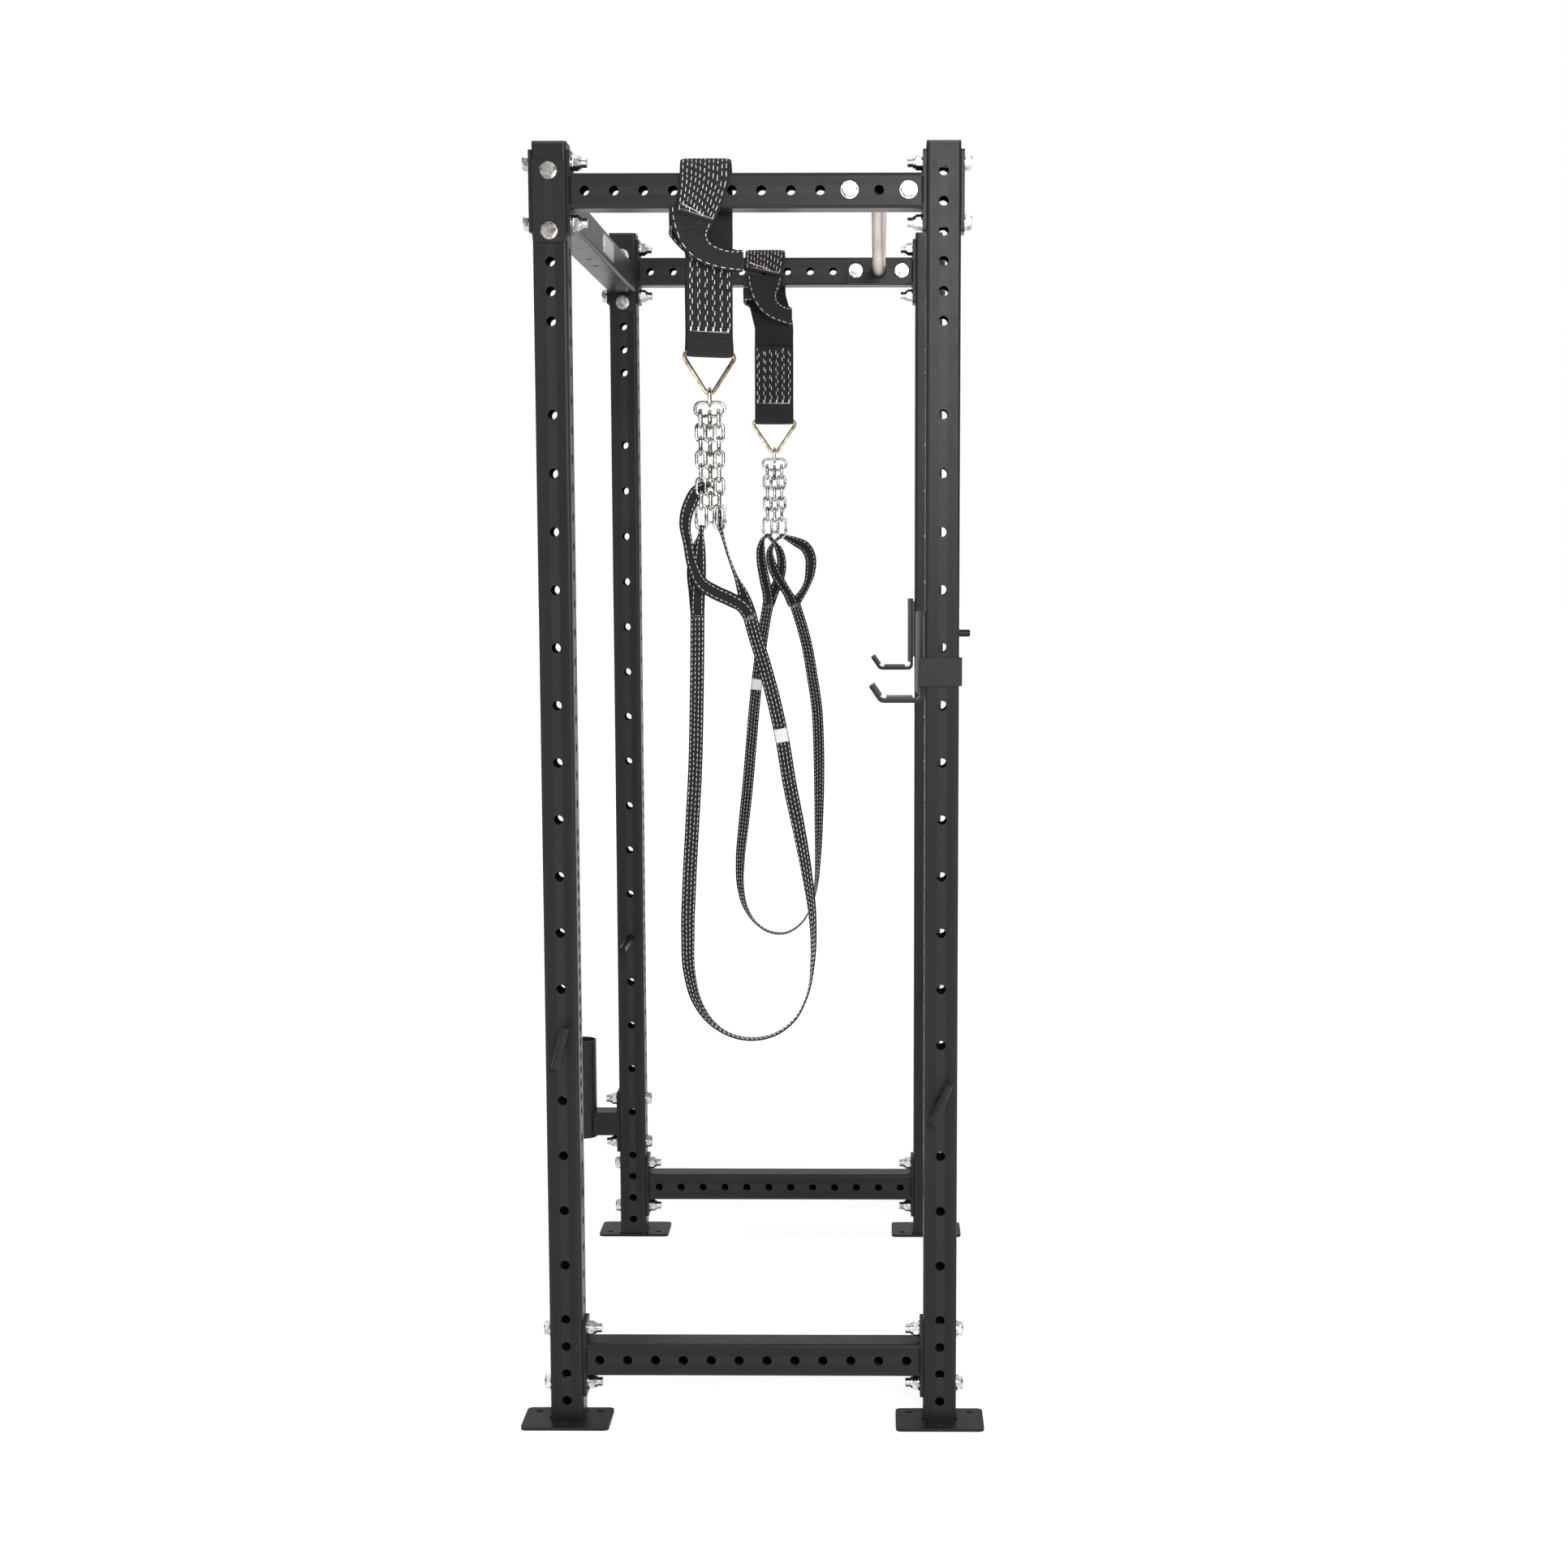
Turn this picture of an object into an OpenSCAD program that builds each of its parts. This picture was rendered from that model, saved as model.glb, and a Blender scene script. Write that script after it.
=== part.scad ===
// Power cage: four punched square uprights, bolted rails, a fixed pull-up bar, two bar cradles,
// four pull pins, a vertical bar holder and two hanging slings with chain and webbing loops.
// Frame: +X is the front, +Y is the left side, +Z is up. The origin is on the floor, midway
// between the four uprights. All sizes are millimetres.

/* [Frame] */
// Distance between front and rear upright centres
depth = 680; // [620:10:760]
// Distance between left and right upright centres
width = 1140; // [1100:10:1220]
// Height of the frame above the floor
height = 2284; // [2240:1:2320]
// Width of every square tube
tube = 60; // [60:1:62]
// Wall thickness of every square tube
wall = 3; // [2:0.5:4]
// Outer corner radius of every square tube
corner_r = 6; // [4.5:0.5:8]

/* [Holes] */
// Diameter of the punched holes
hole_d = 17; // [16.8:0.1:18]
// Base pitch of the punched holes
pitch = 50.8; // [50.8:0.1:51]
// Height of the lowest hole in the side faces
side_first = 41.4; // [38:0.1:44]

/* [Plates] */
// Foot plate length along the depth
foot_l = 160; // [150:1:180]
// Foot plate length across the depth
foot_w = 100; // [96:1:120]
// Thickness of the foot plates, flanges and backing plates
plate_t = 6; // [5:0.5:8]
// Height of the flanges and backing plates
flange_h = 140; // [136:1:144]
// Anchor hole diameter in the foot plates
anchor_d = 13; // [11:1:16]

/* [Fasteners] */
// Bolt shank diameter
bolt_d = 16; // [14:0.5:16]
// Bolt and nut size across the flats
bolt_af = 24; // [22:1:24]
// Washer outside diameter
washer_d = 30; // [28:1:32]

/* [Pull-up bar] */
// Pull-up bar diameter
bar_d = 28; // [26:1:34]
// Pull-up bar flange length
bar_flange_l = 144; // [136:1:144]

/* [Bar cradles] */
// Cradle strap thickness
strap_t = 6; // [5:0.5:6]
// Cradle strap width
strap_w = 56; // [50:1:58]
// Locating pin diameter
cradle_pin_d = 13; // [12:0.5:16]

/* [Pull pins] */
// Pull pin shaft diameter
pin_d = 16; // [14:0.5:16.4]
// Pull pin reach inside the cage
pin_reach = 170; // [120:5:220]

/* [Bar holder] */
// Bar holder tube outside diameter
holder_d = 60; // [58:1:64]
// Bar holder tube wall thickness
holder_wall = 3; // [2.5:0.5:4]
// Bar holder tube length
holder_l = 228; // [180:1:260]

/* [Slings] */
// Width of the sling webbing
sling_w = 86; // [80:1:88]
// Wire diameter of the triangle rings
ring_wire = 8; // [7:0.5:8]
// Wire diameter of the chain links
link_wire = 6; // [5:0.5:6]
// Width of the loop webbing
web_w = 25; // [22:1:28]
// Thickness of the loop webbing
web_t = 3; // [2.5:0.1:3.2]

/* [Hidden] */
$fn = 48;

// Colours
black = [0.09, 0.09, 0.10];
zinc = [0.75, 0.75, 0.73];
chrome = [0.72, 0.71, 0.70];
web_black = [0.04, 0.04, 0.05];

// Frame positions
ux = depth / 2;
uy = width / 2;
half = tube / 2;
face_first = side_first + pitch / 2;
front_gap = depth - tube;
side_gap = width - tube;
rail_hole_count = 12;
rail_end_hole = 5.5 * pitch;
top_side_hole = height - pitch;

// Hole heights: the side faces have a close group at the bottom and the top with a double
// pitch between them; the front and rear faces have an even row with a half-pitch zone.
side_holes = [
  for (i = [0:2]) side_first + i * pitch,
  for (j = [0:16]) side_first + 3 * pitch + j * 2 * pitch,
  for (i = [0:5]) top_side_hole - i * pitch];
face_holes = [
  for (k = [0:43]) face_first + k * pitch,
  for (k = [10:19]) face_first + (k + 0.5) * pitch];

// Bolt heights and rail heights
bottom_bolts = [face_first, face_first + 2 * pitch];
top_bolts = [face_first + 41 * pitch, face_first + 43 * pitch];
rear_bolts = [top_side_hole - 2 * pitch, top_side_hole];
holder_bolt_z = [face_first + 3 * pitch, face_first + 5 * pitch];
bottom_rail_z = (bottom_bolts[0] + bottom_bolts[1]) / 2;
top_rail_z = (top_bolts[0] + top_bolts[1]) / 2;
crossbar_z = (rear_bolts[0] + rear_bolts[1]) / 2;
holder_z = (holder_bolt_z[0] + holder_bolt_z[1]) / 2;

// Foot plate layout
foot_out = foot_w - tube;
foot_side_x = 56;
foot_inner_hole = 20;
foot_outer_hole = 18;

// Pull-up bar
bar_x = 4.5 * pitch;
bar_bolts_x = [3.5 * pitch, 5.5 * pitch];
bar_l = side_gap - 2 * plate_t;

// Fasteners
head_h = 10;
nut_h = 14;
washer_t = 3;
washer_hole = bolt_d + 1;
thread_out = 9;

// Bar cradles: local frame with the pin's axis along X at the origin and the upright's rear
// face at x = -half.
cradle_z = face_first + 27 * pitch;
cradle_gap = 0.5;
back_liner_t = 3;
front_liner_t = 6;
floor_liner_t = 5;
cradle_top = 38;
cradle_bottom = -122;
floor_l = 69;
lip_l = 26;
lip_angle = 56;
strap_x = -half - cradle_gap - back_liner_t;
bend_r = 12;
lip_bend_r = 8;
bracket_t = 4.5;
bracket_z = [-92, -42];
bracket_lip = 22;
cradle_pin_out = 20;

// Pull pins
pin_z_rear = side_first + 13 * pitch;
pin_z_front = side_first + 11 * pitch;
pin_stand = 20;
handle_d = 15;
handle_l = 78;
handle_lean_rear = 14;
handle_lean_front = 22;

// Bar holder
holder_reach = 85;
holder_low = 232;
holder_arm_h = 54;
holder_arm_w = 50;

// Slings: [centre x, turn about Z, ring bar height, links in each hooked strand]
right_set = [-68, 25, 1928, 7];
left_set = [-6, 0, 1875, 5];
sling_t = 4;
wrap_gap = 1;
wrap_r = half + 5;
wrap_drop = 12;
tail_top = top_rail_z - half - 12;
tail_t = 6;
ring_w = 92;
ring_h = 70;
ring_corner_r = 9;
ring_apex_r = 12;
link_l = 36;
link_out = 21;
big_link_out = 27;
play = 0.5;
link_pitch = link_l - 2 * link_wire - play;
strand_x = 16;
strand_y = 3.5;
master_half = 14;
master_r = 12;
hook_w = 18;
hook_h = 42;

// Heights down one hanging set, measured from its ring's top bar
apex_drop = ring_h;
first_link_drop = apex_drop - ring_wire / 2 - play + link_l / 2 - link_wire;
master_top_drop = first_link_drop + link_l / 2 - link_wire - link_wire / 2 - play;
master_low_drop = master_top_drop + 2 * master_r;
big_link_run = (link_l - big_link_out) / 2;
big_link_room = big_link_out / 2 - 1.5 * link_wire - play;
strand_drop = master_low_drop + big_link_run + sqrt(pow(big_link_room, 2) - pow(strand_y, 2));
strand_lift = 1.4;
function hook_top_drop(n) = strand_drop - strand_lift + (n - 1) * link_pitch
  + link_l / 2 - link_wire - link_wire / 2 - play;
function hook_z(set) = set[2] - hook_top_drop(set[3]) - hook_h;

// Webbing routes from one bar tack, round the hanging bottom, to the other bar tack
right_route = [
  [-92, -574, 1478], [-93, -575, 1400], [-95, -577, 1300], [-98, -578, 1200], [-104, -578, 1100],
  [-110, -577, 1000], [-114, -575, 900], [-112, -573, 830], [-98, -572, 775], [-72, -572, 737],
  [-36, -573, 714], [4, -574, 708], [44, -576, 718], [78, -578, 745], [100, -579, 788],
  [110, -580, 850], [110, -580, 930], [100, -579, 1010], [86, -578, 1090], [70, -577, 1170],
  [57, -576, 1250], [42, -575, 1320], [26, -574, 1380], [8, -574, 1440], [-2, -574, 1478]];
left_route = [
  [-20, 566, 1472], [-33, 565, 1400], [-44, 564, 1320], [-54, 563, 1230], [-62, 562, 1140],
  [-70, 562, 1050], [-80, 563, 960], [-88, 564, 880], [-88, 566, 820], [-76, 568, 768],
  [-52, 569, 732], [-20, 569, 712], [14, 568, 710], [46, 567, 728], [70, 566, 762],
  [84, 565, 815], [90, 564, 890], [92, 564, 970], [93, 564, 1060], [92, 564, 1150],
  [88, 565, 1230], [78, 565, 1300], [66, 566, 1370], [50, 566, 1430], [36, 566, 1472]];

// Shape helpers
module rounded_rect(x, y, r) {
  union() {
    square([x - 2 * r, y], center = true);
    square([x, y - 2 * r], center = true);
    for (sx = [-1, 1], sy = [-1, 1])
      translate([sx * (x / 2 - r), sy * (y / 2 - r)]) circle(r);
  }
}

module tube_section() {
  difference() {
    rounded_rect(tube, tube, corner_r);
    rounded_rect(tube - 2 * wall, tube - 2 * wall, corner_r - wall);
  }
}

module hole_x(length, d = hole_d) {
  rotate([0, 90, 0]) cylinder(d = d, h = length, center = true);
}

module hole_y(length, d = hole_d) {
  rotate([90, 0, 0]) cylinder(d = d, h = length, center = true);
}

// Frame pieces
module upright(sx, sy) {
  color(black) translate([sx * ux, sy * uy, 0]) difference() {
    translate([0, 0, plate_t]) linear_extrude(height - plate_t - 4) tube_section();
    for (z = side_holes) translate([0, 0, z]) hole_y(tube + 2);
    for (z = face_holes) translate([0, 0, z]) hole_x(tube + 2);
  }
}

module foot(sx, sy) {
  inner_y = -half + foot_inner_hole;
  outer_y = half + foot_out - foot_outer_hole;
  color(black) translate([sx * ux, sy * uy, 0]) difference() {
    translate([0, sy * foot_out / 2, 0]) linear_extrude(plate_t) rounded_rect(foot_l, foot_w, 10);
    for (x = [-foot_side_x, foot_side_x])
      translate([x, sy * inner_y, plate_t / 2]) cylinder(d = anchor_d, h = plate_t + 2, center = true);
    translate([0, sy * outer_y, plate_t / 2]) cylinder(d = anchor_d, h = plate_t + 2, center = true);
  }
}

module upright_caps() {
  color(web_black) for (sx = [-1, 1], sy = [-1, 1]) translate([sx * ux, sy * uy, height - 4]) union() {
    linear_extrude(4) rounded_rect(tube - 0.6, tube - 0.6, corner_r - 1);
    translate([0, 0, -18]) linear_extrude(19) rounded_rect(tube - 2 * wall - 0.4, tube - 2 * wall - 0.4, 3);
  }
}

module side_rail(sy, z) {
  rail_l = front_gap - 2 * plate_t;
  color(black) translate([0, sy * uy, z]) difference() {
    rotate([0, 90, 0]) linear_extrude(rail_l, center = true) tube_section();
    for (i = [0:rail_hole_count - 1]) translate([-rail_end_hole + i * pitch, 0, 0]) hole_y(tube + 2);
  }
}

// A 60 mm wide plate, thin along X, with two bolt holes along X
module plate_x(h, bolts, z) {
  difference() {
    rotate([0, 90, 0]) linear_extrude(plate_t, center = true) rounded_rect(h, tube - 2, 5);
    for (b = bolts) translate([0, 0, b - z]) hole_x(plate_t + 2);
  }
}

module rail_flanges(z, bolts) {
  color(black) for (sx = [-1, 1], sy = [-1, 1])
    translate([sx * (front_gap / 2 - plate_t / 2), sy * uy, z]) plate_x(flange_h, bolts, z);
}

module side_backing_plates() {
  color(black) for (sx = [-1, 1], sy = [-1, 1])
    translate([sx * (ux + half + plate_t / 2), sy * uy, top_rail_z]) plate_x(flange_h, top_bolts, top_rail_z);
}

module crossbar_plates(y) {
  color(black) for (sy = [-1, 1])
    translate([-ux, sy * y, crossbar_z]) rotate([0, 0, 90]) plate_x(flange_h, rear_bolts, crossbar_z);
}

module rear_crossbar() {
  color(black) translate([-ux, 0, crossbar_z]) difference() {
    rotate([90, 0, 0]) linear_extrude(side_gap - 2 * plate_t, center = true) tube_section();
    for (y = [-pitch, pitch]) translate([0, y, -half]) cylinder(d = 12, h = 8, center = true);
  }
}

module nameplate() {
  color(chrome) translate([-ux + half + 0.75, 15, crossbar_z])
    rotate([0, 90, 0]) linear_extrude(1.5, center = true) rounded_rect(36, 160, 3);
}

// Pull-up bar and its flanges
module pull_up_bar() {
  color(chrome) translate([bar_x, 0, top_rail_z]) rotate([90, 0, 0]) difference() {
    cylinder(d = bar_d, h = bar_l, center = true);
    cylinder(d = bar_d - 6, h = bar_l + 2, center = true);
  }
}

module pull_up_flanges() {
  color(black) for (sy = [-1, 1])
    translate([bar_x, sy * (side_gap / 2 - plate_t / 2), top_rail_z]) difference() {
      rotate([90, 0, 0]) linear_extrude(plate_t, center = true) intersection() {
        square([bar_flange_l, tube - 4], center = true);
        circle(bar_flange_l / 2);
      }
      for (x = bar_bolts_x) translate([x - bar_x, 0, 0]) hole_y(plate_t + 2);
    }
}

// A bolt with its head's seat at the origin and its shank along -Z
module bolt(grip) {
  union() {
    translate([0, 0, -1]) cylinder(d = bolt_d, h = grip + nut_h + thread_out + 1);
    intersection() {
      translate([0, 0, -head_h]) linear_extrude(head_h) circle(d = bolt_af / cos(30), $fn = 6);
      translate([0, 0, -head_h]) cylinder(d1 = bolt_af - 1, d2 = bolt_af + 13, h = 11);
    }
  }
}

module nut() {
  difference() {
    union() {
      intersection() {
        linear_extrude(nut_h - 4) circle(d = bolt_af / cos(30), $fn = 6);
        cylinder(d1 = bolt_af + 13, d2 = bolt_af - 1, h = nut_h - 3);
      }
      cylinder(d = bolt_af - 3, h = nut_h);
    }
    translate([0, 0, -1]) cylinder(d = bolt_d + 0.1, h = nut_h + 2);
  }
}

module washer() {
  difference() {
    cylinder(d = washer_d, h = washer_t);
    translate([0, 0, -1]) cylinder(d = washer_hole, h = washer_t + 2);
  }
}

// Each fastener is placed by its outer seat, its direction and its grip. What is drawn is the
// bolt, the nut or the two washers.
module fastener(what, grip) {
  if (what == "bolt") translate([0, 0, -washer_t]) bolt(grip + 2 * washer_t);
  if (what == "nut") translate([0, 0, grip + washer_t]) nut();
  if (what == "washers") {
    translate([0, 0, -washer_t]) washer();
    translate([0, 0, grip]) washer();
  }
}

// Points +Z of a child along +X or -X, or along +Y or -Y
module along_x(s) {
  rotate([0, s * 90, 0]) children();
}

module along_y(s) {
  rotate([-s * 90, 0, 0]) children();
}

module rail_fasteners(what) {
  for (sx = [-1, 1], sy = [-1, 1]) {
    for (z = top_bolts) translate([sx * (ux + half + plate_t), sy * uy, z])
      along_x(-sx) fastener(what, tube + 2 * plate_t);
    for (z = bottom_bolts) translate([sx * (ux + half), sy * uy, z])
      along_x(-sx) fastener(what, tube + plate_t);
  }
}

module crossbar_fasteners(what) {
  for (sy = [-1, 1], z = rear_bolts) translate([-ux, sy * (uy + half + plate_t), z])
    along_y(-sy) fastener(what, tube + 2 * plate_t);
}

module pull_up_fasteners(what) {
  for (sy = [-1, 1], x = bar_bolts_x) translate([x, sy * (uy + half), top_rail_z])
    along_y(-sy) fastener(what, tube + plate_t);
}

module holder_fasteners(what) {
  for (z = holder_bolt_z) translate([-ux + half, uy, z])
    along_x(-1) fastener(what, tube + plate_t);
}

module flat_washers() {
  color(zinc) union() {
    rail_fasteners("washers");
    crossbar_fasteners("washers");
    pull_up_fasteners("washers");
    holder_fasteners("washers");
  }
}

// Bar cradles, drawn for the left side and mirrored for the right
module at_cradle(sy) {
  translate([ux, sy * uy, cradle_z]) mirror([0, sy > 0 ? 0 : 1, 0]) children();
}

function arc(c, r, from, to, n) =
  [for (i = [0:n]) let (a = from + (to - from) * i / n) c + r * [cos(a), sin(a)]];

// Side outline of the strap: back, bend, floor, bend and lip, then the same way back inside
function cradle_outline() = let (
    turn = [strap_x - floor_l, cradle_bottom + strap_t + lip_bend_r],
    heel = [strap_x - bend_r, cradle_bottom + bend_r],
    lip_end = 270 - lip_angle,
    up = lip_l * [-cos(lip_angle), sin(lip_angle)],
    outer = arc(turn, lip_bend_r + strap_t, 270, lip_end, 6),
    inner = arc(turn, lip_bend_r, lip_end, 270, 6))
  concat([[strap_x, cradle_top]], arc(heel, bend_r, 0, -90, 8), outer, [outer[6] + up],
    [inner[0] + up], inner, arc(heel, bend_r - strap_t, -90, 0, 8), [[strap_x - strap_t, cradle_top]]);

module cradle() {
  bracket_x = strap_x - strap_t;
  bracket_y = half + cradle_gap;
  bracket_h = bracket_z[1] - bracket_z[0];
  color(black) union() {
    rotate([90, 0, 0]) linear_extrude(strap_w, center = true) polygon(cradle_outline());
    // Bracket round the outer side and the front face of the upright
    translate([bracket_x, bracket_y, bracket_z[0]])
      cube([half + cradle_gap + bracket_t - bracket_x, bracket_t, bracket_h]);
    translate([half + cradle_gap, bracket_y - bracket_lip, bracket_z[0]])
      cube([bracket_t, bracket_lip + bracket_t, bracket_h]);
    translate([bracket_x + 0.5, strap_w / 2 - 1, bracket_z[0] + 0.5])
      cube([strap_t - 1, bracket_y - strap_w / 2 + 2, bracket_h - 1]);
  }
}

module cradle_pin() {
  tip = half + cradle_pin_out;
  start = strap_x;
  color(black) rotate([0, 90, 0]) union() {
    translate([0, 0, start]) cylinder(d = cradle_pin_d, h = tip - 2 - start);
    translate([0, 0, tip - 2]) cylinder(d1 = cradle_pin_d, d2 = cradle_pin_d - 4, h = 2);
  }
}

module cradle_liners() {
  inner_x = strap_x - strap_t;
  floor_z = cradle_bottom + strap_t;
  liner_w = strap_w - 2;
  color(web_black) union() {
    translate([inner_x - front_liner_t, -liner_w / 2, cradle_bottom + 18])
      cube([front_liner_t, liner_w, cradle_top - cradle_bottom - 18]);
    translate([strap_x - 65, -liner_w / 2, floor_z]) cube([47, liner_w, floor_liner_t]);
    translate([strap_x - floor_l, 0, floor_z + lip_bend_r]) rotate([0, lip_angle - 90, 0])
      translate([-lip_bend_r, -liner_w / 2, 2]) cube([floor_liner_t, liner_w, lip_l - 2]);
    difference() {
      translate([strap_x, -liner_w / 2, cradle_bottom + 30])
        cube([back_liner_t, liner_w, cradle_top - cradle_bottom - 36]);
      hole_x(200, cradle_pin_d + 0.4);
    }
  }
}

// Pull pins, drawn for the left side and mirrored for the right
module pull_pin(sx, sy, z, lean) {
  color(black) translate([sx * ux, sy * uy, z]) mirror([0, sy > 0 ? 0 : 1, 0]) union() {
    translate([0, half + pin_stand, 0]) rotate([90, 0, 0])
      cylinder(d = pin_d, h = tube + pin_reach + pin_stand - 2);
    translate([0, -half - pin_reach + 2, 0]) rotate([90, 0, 0])
      cylinder(d1 = pin_d, d2 = pin_d - 4, h = 2);
    translate([0, half + pin_stand + 4, 0]) rotate([0, lean, 0])
      cylinder(d = handle_d, h = handle_l, center = true);
  }
}

// Bar holder on the rear left upright
module holder_bracket() {
  plate_x0 = -ux - half - plate_t / 2;
  arm_l = holder_reach - plate_t - holder_d / 2 + 6;
  color(black) difference() {
    translate([0, uy, 0]) union() {
      translate([plate_x0, 0, holder_z]) plate_x(flange_h, holder_bolt_z, holder_z);
      translate([-ux - half - plate_t - arm_l + 1, -holder_arm_w / 2, holder_z - holder_arm_h / 2 - 4])
        cube([arm_l, holder_arm_w, holder_arm_h]);
    }
    translate([-ux - half - holder_reach, uy, holder_low - 5]) cylinder(d = holder_d, h = holder_l + 10);
  }
}

module holder_tube() {
  color(black) translate([-ux - half - holder_reach, uy, holder_low]) difference() {
    cylinder(d = holder_d, h = holder_l);
    translate([0, 0, -1]) cylinder(d = holder_d - 2 * holder_wall, h = holder_l + 2);
  }
}

// Hanging sets. side is -1 on the right and 1 on the left.
module at_set(side, set) {
  translate([set[0], side * uy, set[2]]) children();
}

// shift sets the wrap a little behind the tail, as the strap is pulled askew on the rail
module sling_wrap(side, set, shift) {
  low = -half - wrap_gap;
  outer_w = tube + 2 * (wrap_gap + sling_t);
  color(web_black) translate([set[0] - shift, side * uy, top_rail_z]) rotate([90, 0, 90])
    linear_extrude(sling_w, center = true) difference() {
      union() {
        translate([-outer_w / 2, low - sling_t]) square([outer_w, tube]);
        translate([0, half - wrap_drop]) circle(wrap_r + sling_t);
      }
      translate([-half - wrap_gap, low]) square([tube + 2 * wrap_gap, tube]);
      translate([0, half - wrap_drop]) circle(wrap_r);
    }
}

// The tail hangs from under the rail and ends in a fold round the straight part of the ring's
// top bar
module sling_tail(side, set) {
  fold_r = ring_wire / 2 + 1;
  fold_w = ring_w - 2 * ring_corner_r;
  color(web_black) translate([set[0], side * uy, set[2]]) rotate([0, 0, set[1]]) rotate([90, 0, 90]) union() {
    translate([0, (fold_r + 2 + tail_top - set[2]) / 2, 0])
      cube([tail_t, tail_top - set[2] - fold_r - 2, sling_w], center = true);
    linear_extrude(fold_w, center = true) difference() {
      circle(fold_r + 3);
      circle(fold_r);
    }
  }
}

// A bent wire: straight runs as cylinders and bends as parts of a torus, in the XZ plane
module wire(a, b, d) {
  v = b - a;
  translate([a[0], 0, a[1]]) rotate([0, atan2(v[0], v[1]), 0]) cylinder(d = d, h = norm(v));
}

module bend(c, r, from, sweep, d) {
  translate([c[0], 0, c[1]]) rotate([90, 0, 0]) rotate(from)
    rotate_extrude(angle = sweep) translate([r, 0]) circle(d = d);
}

// Triangle ring with its top bar at the origin and its apex below: one round skin swept along
// three arcs and the straight runs between them
module ring(side, set) {
  corner = [ring_w / 2 - ring_corner_r, -ring_corner_r];
  apex = [0, -ring_h + ring_apex_r];
  span = apex - corner;
  lean = asin((ring_apex_r - ring_corner_r) / norm(span));
  out = atan2(-span[1], -span[0]) - 90 - lean;
  turns = [
    for (i = [0:8]) [corner, ring_corner_r, out + (90 - out) * i / 8],
    for (i = [0:8]) [[-corner[0], corner[1]], ring_corner_r, 90 + (90 - out) * i / 8],
    for (i = [0:10]) [apex, ring_apex_r, 180 - out + (180 + 2 * out) * i / 10]];
  n = len(turns);
  m = 14;
  points = [for (t = turns, j = [0:m - 1]) let (
      a = t[2],
      f = 360 * j / m,
      r = t[1] + ring_wire / 2 * cos(f))
    [t[0][0] + r * cos(a), ring_wire / 2 * sin(f), t[0][1] + r * sin(a)]];
  skin = [for (i = [0:n - 1], j = [0:m - 1]) let (
      a = i * m + j,
      b = i * m + (j + 1) % m,
      c = (i + 1) % n * m + j,
      d = (i + 1) % n * m + (j + 1) % m)
    each [[c, d, b], [c, b, a]]];
  color([0.78, 0.70, 0.52]) at_set(side, set) rotate([0, 0, set[1]]) polyhedron(points, skin, convexity = 6);
}

// A stadium-shaped link, long along Z, with its centre at the origin
module link(length, outer, d = link_wire) {
  r = (outer - d) / 2;
  run = length / 2 - d / 2 - r;
  union() {
    for (s = [-1, 1]) wire([s * r, -run], [s * r, run], d);
    bend([0, run], r, 0, 180, d);
    bend([0, -run], r, 180, 180, d);
  }
}

module strand(count) {
  for (i = [0:count - 1])
    translate([0, 0, -i * link_pitch]) rotate([0, 0, i % 2 == 0 ? 90 : 0])
      link(link_l, i == 0 ? big_link_out : link_out);
}

module chain(side, set) {
  color(zinc) at_set(side, set) {
    translate([0, 0, -first_link_drop]) rotate([0, 0, 90]) link(link_l, big_link_out);
    translate([0, 0, -master_top_drop - master_r]) rotate([0, 90, 0])
      link(2 * (master_half + master_r) + link_wire, 2 * master_r + link_wire);
    for (s = [-1, 1]) translate([s * strand_x, -strand_y, -strand_drop + strand_lift]) strand(set[3]);
    translate([0, strand_y, -strand_drop]) strand(set[3] + 1);
  }
}

// Snap hooks: a bent body with a straight gate on one side
module snap_hooks(side, set) {
  r = hook_w / 2;
  run = hook_h / 2 - r;
  color(zinc) at_set(side, set)
    for (s = [-1, 1])
      translate([s * strand_x, -strand_y, -hook_top_drop(set[3]) - hook_h / 2])
      mirror([s < 0 ? 1 : 0, 0, 0]) union() {
        wire([-r, -run], [-r, run], link_wire);
        wire([r, -run], [r, run], link_wire - 1.5);
        bend([0, run], r, 0, 180, link_wire);
        bend([0, -run], r, 180, 180, link_wire);
        translate([r, 0, -run + 5]) cylinder(d = link_wire + 1, h = 6, center = true);
      }
}

// Flat webbing: one closed skin swept along a route with an eight-sided flat section
function unit(v) = v / norm(v);
function along(p, i) = unit(p[min(i + 1, len(p) - 1)] - p[max(i - 1, 0)]);
section = [[1, 0.4], [0.9, 1], [-0.9, 1], [-1, 0.4], [-1, -0.4], [-0.9, -1], [0.9, -1], [1, -0.4]];
function place(p, side, i, w, t) = let (
    tangent = along(p, i),
    normal = unit(cross(tangent, side)),
    flat = cross(normal, tangent))
  [for (s = section) p[i] + s[0] * w / 2 * flat + s[1] * t / 2 * normal];
module sweep(p, sides, widths, t) {
  n = len(p);
  m = len(section);
  points = [for (i = [0:n - 1]) each place(p, sides[i], i, widths[i], t)];
  skin = [for (i = [0:n - 2], j = [0:m - 1]) let (a = i * m + j, b = i * m + (j + 1) % m)
    each [[a, b, b + m], [a, b + m, a + m]]];
  ends = [[for (j = [0:m - 1]) m - 1 - j], [for (j = [0:m - 1]) (n - 1) * m + j]];
  polyhedron(points, [for (f = concat(skin, ends)) [for (k = [len(f) - 1:-1:0]) f[k]]], convexity = 8);
}

// The flat side faces out at the first tack, turns edge-on round the hanging bottom, and has
// turned by last_turn at the other tack
function turn_at(t, last_turn) = t < 0.2 ? 0
  : t < 0.42 ? 90 * (t - 0.2) / 0.22
  : t < 0.58 ? 90
  : t < 0.8 ? 90 + (last_turn - 90) * (t - 0.58) / 0.22
  : last_turn;

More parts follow.
